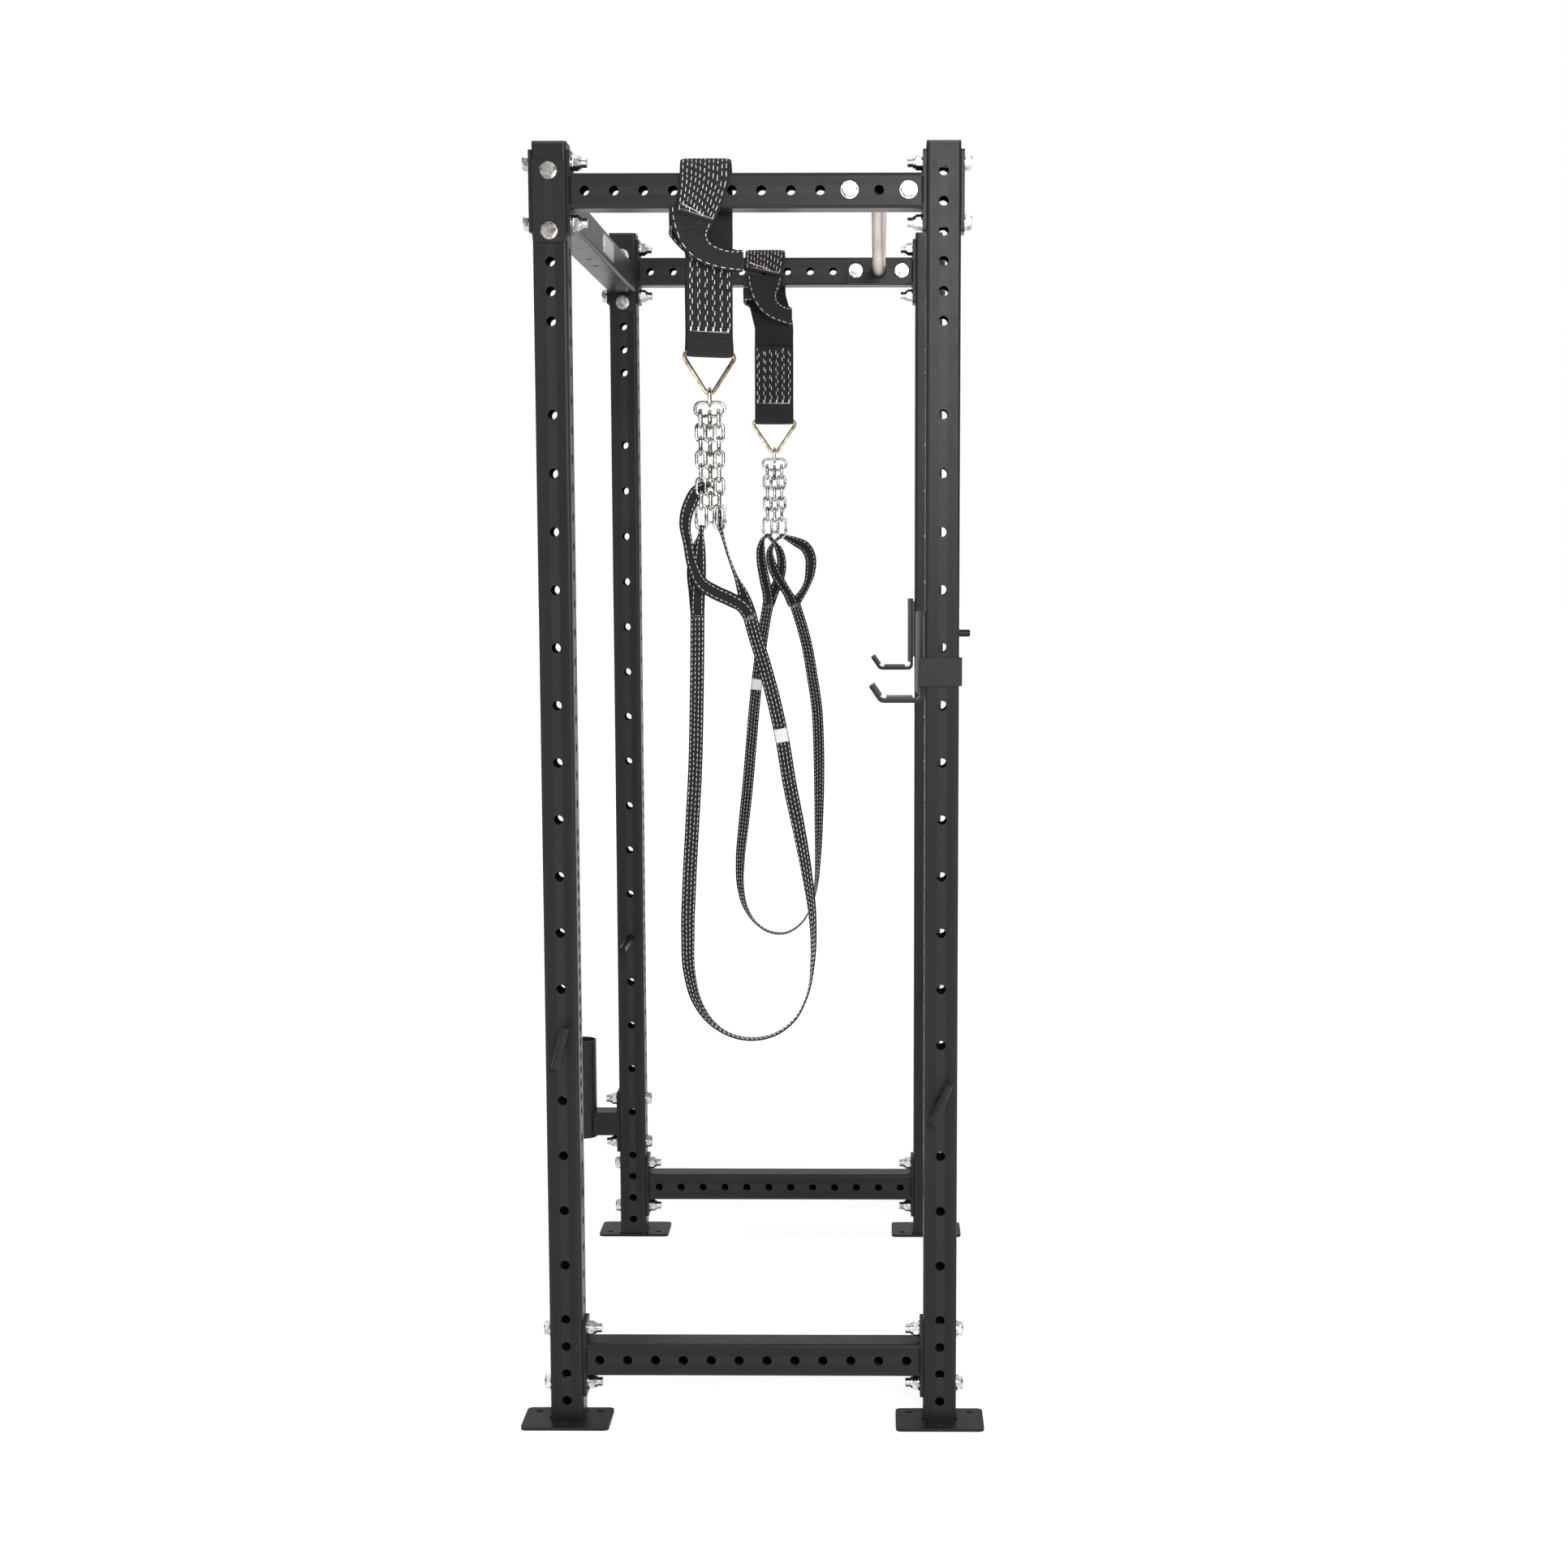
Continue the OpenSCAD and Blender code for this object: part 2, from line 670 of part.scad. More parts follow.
module webbing_loop(route, last_turn) {
  last = len(route) - 1;
  sides = [for (i = [0:last]) let (a = turn_at(i / last, last_turn)) [cos(a), sin(a), 0]];
  color(web_black) sweep(route, sides, [for (i = [0:last]) web_w], web_t);
}

// Eye loops: each passes over its snap hook and closes at the bar tack below it
module eye_loop(hook, tack) {
  over = link_wire / 2 + web_t / 2 + 1.6;
  d = tack - hook;
  path = [
    tack + [0, 0.2 - web_t, -10], tack + [0, 0.2 - web_t, 2], tack + [-3, -4.4, 22],
    hook + [d[0] * 0.5 - 12, -12, -75],
    hook + [-9, -13, -40], hook + [-1, -9, -14],
    for (a = [180:-30:0]) hook + over * [0, cos(a), sin(a)],
    hook + [1, 9, -14], hook + [9, 13, -40], hook + [d[0] * 0.5 + 12, 12, -75],
    tack + [3, 4.4, 22], tack + [0, web_t - 0.2, 2], tack + [0, web_t - 0.2, -10]];
  last = len(path) - 1;
  widths = [for (i = [0:last]) let (k = min(i, last - i)) k > 5 ? 8 : k == 5 ? 10 : k == 4 ? 17 : web_w];
  sweep(path, [for (i = [0:last]) [1, 0, 0]], widths, web_t - 0.4);
}

module eye_loops(side, set, route) {
  last = len(route) - 1;
  color(web_black) for (s = [0, 1])
    eye_loop([set[0] + (2 * s - 1) * strand_x, side * uy - strand_y, hook_z(set)], route[s * last]);
}

upright(-1, -1);  // rear_right_upright
upright(1, -1);  // front_right_upright
upright(-1, 1);  // rear_left_upright
upright(1, 1);  // front_left_upright
foot(-1, -1);  // rear_right_foot
foot(1, -1);  // front_right_foot
foot(-1, 1);  // rear_left_foot
foot(1, 1);  // front_left_foot
upright_caps();
side_rail(-1, top_rail_z);  // right_top_rail
side_rail(1, top_rail_z);  // left_top_rail
side_rail(-1, bottom_rail_z);  // right_bottom_rail
side_rail(1, bottom_rail_z);  // left_bottom_rail
rail_flanges(top_rail_z, top_bolts);  // top_rail_flanges
rail_flanges(bottom_rail_z, bottom_bolts);  // bottom_rail_flanges
rear_crossbar();
crossbar_plates(side_gap / 2 - plate_t / 2);  // rear_crossbar_flanges
side_backing_plates();
crossbar_plates(uy + half + plate_t / 2);  // rear_backing_plates
pull_up_bar();
pull_up_flanges();
nameplate();
color(zinc) rail_fasteners("bolt");  // rail_bolts
color(zinc) rail_fasteners("nut");  // rail_nuts
color(zinc) crossbar_fasteners("bolt");  // crossbar_bolts
color(zinc) crossbar_fasteners("nut");  // crossbar_nuts
color(zinc) pull_up_fasteners("bolt");  // pull_up_bolts
color(zinc) pull_up_fasteners("nut");  // pull_up_nuts
color(zinc) holder_fasteners("bolt");  // holder_bolts
color(zinc) holder_fasteners("nut");  // holder_nuts
flat_washers();
at_cradle(-1) cradle();  // right_cradle
at_cradle(-1) cradle_pin();  // right_cradle_pin
at_cradle(-1) cradle_liners();  // right_cradle_liners
at_cradle(1) cradle();  // left_cradle
at_cradle(1) cradle_pin();  // left_cradle_pin
at_cradle(1) cradle_liners();  // left_cradle_liners
pull_pin(-1, -1, pin_z_rear, handle_lean_rear);  // rear_right_pull_pin
pull_pin(1, -1, pin_z_front, handle_lean_front);  // front_right_pull_pin
pull_pin(-1, 1, pin_z_rear, handle_lean_rear);  // rear_left_pull_pin
pull_pin(1, 1, pin_z_front, handle_lean_front);  // front_left_pull_pin
holder_bracket();
holder_tube();
sling_wrap(-1, right_set, 3);  // right_sling_wrap
sling_tail(-1, right_set);  // right_sling_tail
ring(-1, right_set);  // right_ring
chain(-1, right_set);  // right_chain
snap_hooks(-1, right_set);  // right_snap_hooks
eye_loops(-1, right_set, right_route);  // right_eye_loops
webbing_loop(right_route, 180);  // right_webbing_loop
sling_wrap(1, left_set, 18);  // left_sling_wrap
sling_tail(1, left_set);  // left_sling_tail
ring(1, left_set);  // left_ring
chain(1, left_set);  // left_chain
snap_hooks(1, left_set);  // left_snap_hooks
eye_loops(1, left_set, left_route);  // left_eye_loops
webbing_loop(left_route, 180);  // left_webbing_loop
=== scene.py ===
"""Power cage: looks. Everything is in metres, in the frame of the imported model."""
import math
import random

import bpy
import numpy as np
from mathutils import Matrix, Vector


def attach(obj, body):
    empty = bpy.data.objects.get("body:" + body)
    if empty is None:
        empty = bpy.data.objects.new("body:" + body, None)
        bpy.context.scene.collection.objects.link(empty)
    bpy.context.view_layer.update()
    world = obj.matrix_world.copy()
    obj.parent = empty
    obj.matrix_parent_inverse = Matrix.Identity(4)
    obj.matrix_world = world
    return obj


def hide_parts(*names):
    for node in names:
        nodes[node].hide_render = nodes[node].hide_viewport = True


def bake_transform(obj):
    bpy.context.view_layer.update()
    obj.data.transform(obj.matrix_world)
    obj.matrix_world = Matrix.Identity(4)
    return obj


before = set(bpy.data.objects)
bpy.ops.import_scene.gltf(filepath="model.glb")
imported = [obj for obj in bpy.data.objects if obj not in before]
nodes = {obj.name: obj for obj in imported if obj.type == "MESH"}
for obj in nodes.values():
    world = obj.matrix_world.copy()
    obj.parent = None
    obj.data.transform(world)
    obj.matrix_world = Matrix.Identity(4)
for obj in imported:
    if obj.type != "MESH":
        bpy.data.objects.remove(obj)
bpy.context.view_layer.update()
rng = random.Random(7)
TAU = 2 * math.pi

# ---------------------------------------------------------------- sizes of the frame
HALF = 0.030  # half of the square tube
POST_X, POST_Y = 0.340, 0.570  # the middles of the posts
PITCH = 0.0508  # the bolts sit one hole above and one below the middle of a joint
RAIL_Z, LOW_RAIL_Z, CROSSBAR_Z = 2.2004, 0.1176, 2.1824
PULL_UP_X = 0.2286
PLATE, WASHER, NUT = 0.006, 0.003, 0.014
WEB = 0.025  # the width of the loops' webbing
SLING_WEB, SLING_THICK = 0.086, 0.0036

# ---------------------------------------------------------------- camera
camera_data = bpy.data.cameras.new("camera")
camera_data.sensor_width = 36
camera_data.lens = 52.39
camera_data.shift_x = -0.0468
camera_data.shift_y = 0.0122
camera_data.clip_end = 100
camera = bpy.data.objects.new("camera", camera_data)
bpy.context.collection.objects.link(camera)
camera.location = (0.2262, -4.617, 1.5811)
camera.rotation_euler = (math.pi / 2 - 0.1096, 0.0005, 0.0088)
bpy.context.scene.camera = camera


# ---------------------------------------------------------------- materials
class Mat:
    """A material with a Principled shader and short calls for its nodes."""

    def __init__(self, name, **sockets):
        self.m = bpy.data.materials.new(name)
        self.m.use_nodes = True
        self.t = self.m.node_tree
        self.shader = self.t.nodes["Principled BSDF"]
        for key, value in sockets.items():
            self.shader.inputs[key.replace("_", " ")].default_value = value
        self.coords = self.t.nodes.new("ShaderNodeTexCoord")

    def node(self, kind, inputs=None, **props):
        n = self.t.nodes.new(kind)
        for key, value in props.items():
            setattr(n, key, value)
        for key, value in (inputs or {}).items():
            if isinstance(value, bpy.types.NodeSocket):
                self.t.links.new(value, n.inputs[key])
            else:
                n.inputs[key].default_value = value
        return n

    def noise(self, scale, detail=3.0, rough=0.55, stretch=(1, 1, 1)):
        place = {"Vector": self.coords.outputs["Object"], "Scale": stretch}
        vector = self.node("ShaderNodeMapping", place).outputs[0]
        return self.node(
            "ShaderNodeTexNoise",
            {"Vector": vector, "Scale": scale, "Detail": detail, "Roughness": rough},
        ).outputs["Fac"]

    def ramp(self, fac, stops):
        n = self.node("ShaderNodeValToRGB", {"Fac": fac})
        ramp = n.color_ramp
        while len(ramp.elements) < len(stops):
            ramp.elements.new(0.5)
        for e, (at, colour) in zip(ramp.elements, stops):
            e.position = at
            e.color = (*colour, 1) if isinstance(colour, tuple) else (colour,) * 3 + (1,)
        return n.outputs["Color"]

    def span(self, fac, low, high):
        return self.node(
            "ShaderNodeMapRange", {"Value": fac, "To Min": low, "To Max": high}
        ).outputs[0]

    def math(self, operation, a, b=0.0):
        return self.node("ShaderNodeMath", {0: a, 1: b}, operation=operation).outputs[0]

    def mix(self, fac, a, b):
        n = self.node("ShaderNodeMix", data_type="RGBA")
        for key, value in (("Factor", fac), ("A", a), ("B", b)):
            socket = [s for s in n.inputs if s.name == key and s.type in ("VALUE", "RGBA")]
            socket = socket[0] if key == "Factor" else socket[-1]
            if isinstance(value, bpy.types.NodeSocket):
                self.t.links.new(value, socket)
            else:
                socket.default_value = value
        return [s for s in n.outputs if s.type == "RGBA"][0]

    def link(self, value, socket):
        self.t.links.new(value, self.shader.inputs[socket])

    def bump(self, height, strength, distance, normal=None):
        inputs = {"Height": height, "Strength": strength, "Distance": distance}
        if normal is not None:
            inputs["Normal"] = normal
        n = self.node("ShaderNodeBump", inputs).outputs[0]
        self.link(n, "Normal")
        return n


def powder_coat(name, low, high, rough):
    """Black powder coat: fine orange peel, slight clouding, and rubbed lighter along edges."""
    m = Mat(name, Specular_IOR_Level=0.13)
    cloud = m.noise(7, 4)
    speck = m.noise(1400, 2)
    edge = m.node("ShaderNodeNewGeometry").outputs["Pointiness"]
    base = m.ramp(cloud, [(0.3, low), (0.7, high)])
    base = m.mix(m.ramp(speck, [(0.62, 0.0), (0.8, 0.5)]), base, (0.028, 0.027, 0.029, 1))
    base = m.mix(m.ramp(edge, [(0.53, 0.0), (0.62, 0.35)]), base, (0.05, 0.045, 0.045, 1))
    m.link(base, "Base Color")
    m.link(m.span(m.noise(35, 3), rough - 0.07, rough + 0.09), "Roughness")
    peel = m.bump(m.noise(650, 2, 0.5), 0.22, 0.0004)
    m.bump(m.noise(2600, 1), 0.12, 0.0002, peel)
    return m.m


def plated(name, low, high, rough, scratch, mottle):
    """Zinc plate: mottled from low to high, with fine scratches and a little dulling. Where low is
    very dark, as on the chain, the dark spots are painted shade.
    """
    m = Mat(name, Metallic=1.0)
    mottle_and_painted_shade = m.noise(mottle, 5, 0.6)
    m.link(m.ramp(mottle_and_painted_shade, [(0.36, low), (0.60, high)]), "Base Color")
    m.link(m.span(m.noise(420, 3), rough - 0.08, rough + 0.12), "Roughness")
    fine = m.bump(m.noise(900, 3), scratch, 0.0003)
    m.bump(m.noise(220, 2), 0.12, 0.0006, fine)
    return m.m


paint = powder_coat(
    "frame_paint", (0.0045, 0.0040, 0.0042), (0.0078, 0.0069, 0.0072), 0.34)
zinc = plated("zinc_plate", (0.34, 0.33, 0.32), (0.74, 0.72, 0.68), 0.24, 0.1, 90)
# The chain's very dark low end makes its dark mottle spots painted shade, standing in for shade in
# the links' crevices
chain_zinc = plated("chain_zinc", (0.07, 0.065, 0.06), (0.74, 0.73, 0.70), 0.16, 0.06, 95)
yellow_zinc = plated("yellow_zinc", (0.28, 0.21, 0.12), (0.74, 0.65, 0.49), 0.20, 0.06, 70)


def drawn_bar():
    """Satin-polished steel with turning lines round it and faint length streaks."""
    m = Mat("bar_steel", Metallic=1.0, Anisotropic=0.4)
    streaks = m.noise(60, 4, 0.6, (1, 0.06, 1))
    tones = [(0.3, (0.36, 0.30, 0.275)), (0.72, (0.60, 0.52, 0.48))]
    m.link(m.ramp(streaks, tones), "Base Color")
    m.link(m.span(m.noise(90, 3, 0.5, (1, 3, 1)), 0.24, 0.40), "Roughness")
    m.bump(m.noise(300, 3, 0.5, (1, 9, 1)), 0.12, 0.0002)
    return m.m


def brushed_plate():
    """Aluminium brushed along its length."""
    m = Mat("plate_aluminium", Metallic=1.0)
    grain = m.noise(120, 4, 0.6, (1, 0.05, 8))
    tones = [(0.3, (0.50, 0.50, 0.52)), (0.7, (0.72, 0.72, 0.74))]
    m.link(m.ramp(grain, tones), "Base Color")
    m.link(m.span(grain, 0.28, 0.46), "Roughness")
    m.bump(grain, 0.15, 0.0002)
    return m.m


def moulded(name, low, high, rough, grain):
    """Moulded black plastic with a fine spark-eroded grain and faint flow marks."""
    m = Mat(name)
    m.link(m.ramp(m.noise(18, 3), [(0.3, low), (0.7, high)]), "Base Color")
    m.link(m.span(m.noise(60, 3), rough - 0.06, rough + 0.08), "Roughness")
    flow = m.bump(m.noise(26, 2, 0.4, (1, 1, 0.3)), 0.08, 0.0006)
    m.bump(m.noise(grain, 2), 0.25, 0.0003, flow)
    return m.m


bar_steel = drawn_bar()
plate_aluminium = brushed_plate()
cap_plastic = moulded("cap_plastic", (0.012, 0.012, 0.012), (0.02, 0.02, 0.02), 0.55, 1800)
liner_plastic = moulded(
    "liner_plastic", (0.008, 0.008, 0.009), (0.016, 0.015, 0.015), 0.30, 2400)


def woven(name, period, low, high, strength, dust_top=0.35):
    """Ribbed webbing: cross ribs and lengthwise yarns from the strap's own UVs, with fuzz, painted
    highlights on the rib and yarn tops and painted shade in the hollows.
    """
    yarn_pitch = 0.0011
    m = Mat(name, Sheen_Weight=0.05, Sheen_Roughness=0.5, Specular_IOR_Level=0.2)
    uv = m.node("ShaderNodeSeparateXYZ", {"Vector": m.coords.outputs["UV"]})
    across = m.math("SINE", m.math("MULTIPLY", uv.outputs[0], TAU / yarn_pitch))
    ribs = m.math("COSINE", m.math("MULTIPLY", uv.outputs[1], TAU / period))
    yarn = m.math("MULTIPLY", across, ribs)
    height = m.math("ADD", m.math("MULTIPLY", ribs, 0.7), m.math("MULTIPLY", yarn, 0.3))
    dust = m.noise(45, 4, 0.6)
    # Painted light: the rib and yarn tops get the lighter colour as painted highlight, and the
    # hollows keep the darker colour as painted shade
    crest = m.math("ADD", m.math("MULTIPLY", height, 0.5), 0.5)
    base = m.mix(crest, (*low, 1), (*high, 1))
    dusty = (*(c * 2 for c in high), 1)
    base = m.mix(m.ramp(dust, [(0.45, 0.0), (0.8, dust_top)]), base, dusty)
    m.link(base, "Base Color")
    m.link(m.span(m.noise(300, 3), 0.62, 0.86), "Roughness")
    fuzz = m.bump(m.noise(2200, 2), 0.2, 0.0002)
    m.bump(height, strength, 0.0004, fuzz)
    return m.m


RIB = 0.0036  # from one rib of the sling webbing to the next
# The lighter colour of each webbing is the painted highlight on the rib tops; the darker is the
# painted shade between them
webbing = woven("webbing", 0.0018, (0.003, 0.003, 0.004), (0.011, 0.010, 0.012), 0.5)
sling_web = woven(
    "sling_webbing", RIB, (0.002, 0.002, 0.0025), (0.024, 0.022, 0.025), 0.25, 0.15)


def thread_material():
    """Pale sewing thread, a little uneven in tone."""
    m = Mat("stitch_thread", Sheen_Weight=0.2)
    tones = [(0.3, (0.66, 0.59, 0.56)), (0.65, (0.90, 0.85, 0.83))]
    m.link(m.ramp(m.noise(240, 3), tones), "Base Color")
    m.link(m.span(m.noise(900, 2), 0.6, 0.85), "Roughness")
    m.bump(m.noise(2400, 2), 0.5, 0.0003)
    return m.m


thread = thread_material()


def tag_material():
    """Grey woven tape."""
    m = Mat("tag_cloth", Sheen_Weight=0.15)
    tones = [(0.35, (0.42, 0.42, 0.43)), (0.7, (0.66, 0.66, 0.66))]
    m.link(m.ramp(m.noise(900, 3), tones), "Base Color")
    m.link(m.span(m.noise(200, 2), 0.55, 0.8), "Roughness")
    m.bump(m.noise(1600, 2, 0.5, (1, 1, 3)), 0.3, 0.0002)
    return m.m


tag_cloth = tag_material()


def assign(names, material):
    for name in names:
        o = nodes[name]
        if not o.material_slots:
            o.data.materials.append(material)
        for s in o.material_slots:
            s.material = material


painted = [n for n in nodes if n.endswith((
    "_upright", "_foot", "_rail", "_flanges", "_plates", "_cradle", "_cradle_pin", "_pull_pin"))]
assign(painted + ["rear_crossbar", "holder_bracket", "holder_tube"], paint)
assign([n for n in nodes if n.endswith(("_bolts", "_nuts"))] + ["flat_washers"], zinc)
assign(["right_chain", "left_chain", "right_snap_hooks", "left_snap_hooks"], chain_zinc)
assign(["right_ring", "left_ring"], yellow_zinc)
assign(["pull_up_bar"], bar_steel)
assign(["nameplate"], plate_aluminium)
assign(["upright_caps"], cap_plastic)
assign(["right_cradle_liners", "left_cradle_liners"], liner_plastic)


# ---------------------------------------------------------------- mesh helpers
def make(name, verts, faces, material, uvs=None):
    """One smooth-shaded mesh object."""
    mesh = bpy.data.meshes.new(name)
    mesh.from_pydata([tuple(v) for v in verts], [], faces)
    mesh.materials.append(material)
    mesh.polygons.foreach_set("use_smooth", [True] * len(mesh.polygons))
    if uvs is not None:
        layer = mesh.uv_layers.new(name="UVMap")
        index = np.zeros(len(mesh.loops), int)
        mesh.loops.foreach_get("vertex_index", index)
        layer.data.foreach_set("uv", np.asarray(uvs, float)[index].ravel())
    mesh.update()
    obj = bpy.data.objects.new(name, mesh)
    bpy.context.collection.objects.link(obj)
    return obj


def spline(rows, step):
    """A smooth curve through rows of numbers whose first three are a point, at even steps."""
    p = np.array(rows, float)
    d = np.linalg.norm(np.diff(p[:, :3], axis=0), axis=1)
    slope = np.diff(p, axis=0) / d[:, None]
    m = np.empty_like(p)
    m[0], m[-1] = slope[0], slope[-1]
    m[1:-1] = (slope[:-1] * d[1:, None] + slope[1:] * d[:-1, None]) / (d[1:] + d[:-1])[:, None]
    out = []
    for i in range(len(d)):
        for t in np.linspace(0, 1, max(4, int(d[i] / step * 2)), endpoint=False):
            h = (2 * t**3 - 3 * t**2 + 1, t**3 - 2 * t**2 + t, -2 * t**3 + 3 * t**2, t**3 - t**2)
            out.append(h[0] * p[i] + h[1] * d[i] * m[i] + h[2] * p[i + 1] + h[3] * d[i] * m[i + 1])
    q = np.array(out + [p[-1]])
    s = np.r_[0, np.cumsum(np.linalg.norm(np.diff(q[:, :3], axis=0), axis=1))]
    at = np.linspace(0, s[-1], max(2, int(round(s[-1] / step))) + 1)
    return np.column_stack([np.interp(at, s, q[:, k]) for k in range(q.shape[1])]), at


def unit(a):
    return a / np.linalg.norm(a, axis=-1, keepdims=True)


class Band:
    """A flat band along rows of (point, side direction, width)."""

    def __init__(self, rows, thick, step):
        q, self.s = spline(rows, step)
        self.c = q[:, :3]
        self.t = unit(np.gradient(self.c, axis=0))
        side = q[:, 3:6]
        self.side = unit(side - np.sum(side * self.t, axis=1)[:, None] * self.t)
        self.n = np.cross(self.t, self.side)
        self.w = q[:, 6]
        self.thick = thick

    @property
    def length(self):
        return float(self.s[-1])

    def at(self, s, u, lift=0.0):
        """The point at distance s along and u from -1 to 1 across, lifted off the middle."""
        def pick(a):
            return np.array([np.interp(s, self.s, a[:, k]) for k in range(3)])

        n = unit(pick(self.n))
        width = np.interp(s, self.s, self.w)
        return pick(self.c) + unit(pick(self.side)) * u * width / 2 + n * lift, n

    def mesh(self, name, material, columns, rib=0.0):
        """The band as a closed mesh with thin edges and, where rib is given, raised cross ribs."""
        u = np.linspace(-1, 1, columns + 1)
        edge = np.sqrt(np.clip(1 - np.abs(u) ** 6, 0, 1))
        h = self.thick / 2 * (0.3 + 0.7 * edge)
        wave = rib * (0.5 + 0.5 * np.cos(TAU * self.s / RIB))[:, None] * edge[None, :]
        across = self.side[:, None, :] * (u[None, :, None] * self.w[:, None, None] / 2)
        middle = self.c[:, None, :] + across
        top = middle + self.n[:, None, :] * (h + wave)[:, :, None]
        low = middle - self.n[:, None, :] * (h + wave)[:, :, None]
        ring = np.concatenate([top, low[:, ::-1]], axis=1)
        n, m = ring.shape[:2]
        uv = np.zeros((n, m, 2))
        uv[:, :, 0] = np.r_[u, u[::-1]][None, :] * self.w[:, None] / 2
        uv[:, :, 1] = self.s[:, None]
        faces = []
        for i in range(n - 1):
            a, b = i * m, (i + 1) * m
            for j in range(m):
                k = (j + 1) % m
                faces.append((a + j, b + j, b + k, a + k))
        for j in range(columns):
            faces.append((j, j + 1, m - 2 - j, m - 1 - j))
            e = (n - 1) * m
            faces.append((e + m - 1 - j, e + m - 2 - j, e + j + 1, e + j))
        return make(name, ring.reshape(-1, 3), faces, material, uvs=uv.reshape(-1, 2))


class Threads:
    """Raised threads, gathered and made into one mesh."""

    SIDES = 6
    # A stitch in steps: the part of its length, and its height over the cloth in thread radii
    STITCH = ((0, -0.9), (0.12, 0.35), (0.5, 0.6), (0.88, 0.35), (1, -0.9))

    def __init__(self):
        self.verts, self.faces = [], []

    def line(self, points, normals, radius):
        """A round thread through points, thinner at its two ends."""
        p, n = np.array(points, float), np.array(normals, float)
        t = unit(np.gradient(p, axis=0))
        b = unit(np.cross(t, n))
        n = np.cross(b, t)
        k = len(p)
        r = np.full(k, radius)
        r[0] = r[-1] = radius * 0.45
        sides = self.SIDES
        a = np.arange(sides) * TAU / sides
        ring = p[:, None] + r[:, None, None] * (
            np.cos(a)[None, :, None] * n[:, None] + np.sin(a)[None, :, None] * b[:, None])
        base = len(self.verts)
        self.verts.extend(ring.reshape(-1, 3).tolist())
        for i in range(k - 1):
            for j in range(sides):
                q = base + i * sides
                m = (j + 1) % sides
                self.faces.append((q + j, q + sides + j, q + sides + m, q + m))
        self.faces.append(tuple(base + j for j in range(sides)))
        self.faces.append(tuple(base + (k - 1) * sides + j for j in reversed(range(sides))))

    def dash(self, band, s0, s1, u0, u1, radius, face, lift=0.0):
        """One stitch on the band's front, face 1, or its back, face -1."""
        points, normals = [], []
        for f, rise in self.STITCH:
            up = band.thick / 2 + lift + radius * rise
            p, n = band.at(s0 + (s1 - s0) * f, u0 + (u1 - u0) * f, face * up)
            points.append(p)
            normals.append(n * face)
        self.line(points, normals, radius)

    def row(self, band, u, s0, s1, dash, gap, radius, face, lift=0.0, wander=0.0, start=0.0):
        """A row of hand-even stitches along the band at u."""
        s = s0 + start
        while s < s1 - dash * 0.5:
            a = u + rng.uniform(-wander, wander)
            b = u + rng.uniform(-wander, wander)
            d = dash * rng.uniform(0.85, 1.12)
            self.dash(band, s, min(s + d, s1), a, b, radius * rng.uniform(0.9, 1.1), face, lift)
            s += d + gap * rng.uniform(0.85, 1.15)

    def zigzag(self, band, s0, s1, u0, u1, turns, radius, face, lift=0.0):
        """One thread to and fro between u0 and u1, as in a bar tack."""
        points, normals = [], []
        up = band.thick / 2 + lift + radius * 0.4
        for i in range(turns * 2 + 1):
            f = i / (turns * 2)
            p, n = band.at(s0 + (s1 - s0) * f, u0 if i % 2 else u1, face * up)
            points.append(p)
            normals.append(n * face)
        self.line(points, normals, radius)

    def mesh(self, name):
        return make(name, self.verts, self.faces, thread)


def placed(rows, x=0.0, y=0.0):
    """Rows of (point, side direction, width) in millimetres, as rows in metres from x and y."""
    return [[x + px / 1000, y + py / 1000, pz / 1000, *side, width / 1000]
            for px, py, pz, *side, width in rows]


# ---------------------------------------------------------------- webbing loops
# The routes of the loops, from one bar tack round the hanging bottom to the other
right_route = [
    [-92, -574, 1478], [-93, -575, 1400], [-95, -577, 1300], [-98, -578, 1200], [-104, -578, 1100],
    [-110, -577, 1000], [-114, -575, 900], [-112, -573, 830], [-98, -572, 775], [-72, -572, 737],
    [-36, -573, 714], [4, -574, 708], [44, -576, 718], [78, -578, 745], [100, -579, 788],
    [110, -580, 850], [110, -580, 930], [100, -579, 1010], [86, -578, 1090], [70, -577, 1170],
    [57, -576, 1250], [42, -575, 1320], [26, -574, 1380], [8, -574, 1440], [-2, -574, 1478]]
left_route = [
    [-20, 566, 1472], [-33, 565, 1400], [-44, 564, 1320], [-54, 563, 1230], [-62, 562, 1140],
    [-70, 562, 1050], [-80, 563, 960], [-88, 564, 880], [-88, 566, 820], [-76, 568, 768],
    [-52, 569, 732], [-20, 569, 712], [14, 568, 710], [46, 567, 728], [70, 566, 762],
    [84, 565, 815], [90, 564, 890], [92, 564, 970], [93, 564, 1060], [92, 564, 1150],
    [88, 565, 1230], [78, 565, 1300], [66, 566, 1370], [50, 566, 1430], [36, 566, 1472]]


def turn_at(t):
    """How far the loop's webbing has turned about its length, in degrees, at t from 0 to 1."""
    if t < 0.2:
        return 0.0
    if t < 0.42:
        return 90 * (t - 0.2) / 0.22
    if t < 0.58:
        return 90.0
    if t < 0.8:
        return 90 + 90 * (t - 0.58) / 0.22
    return 180.0


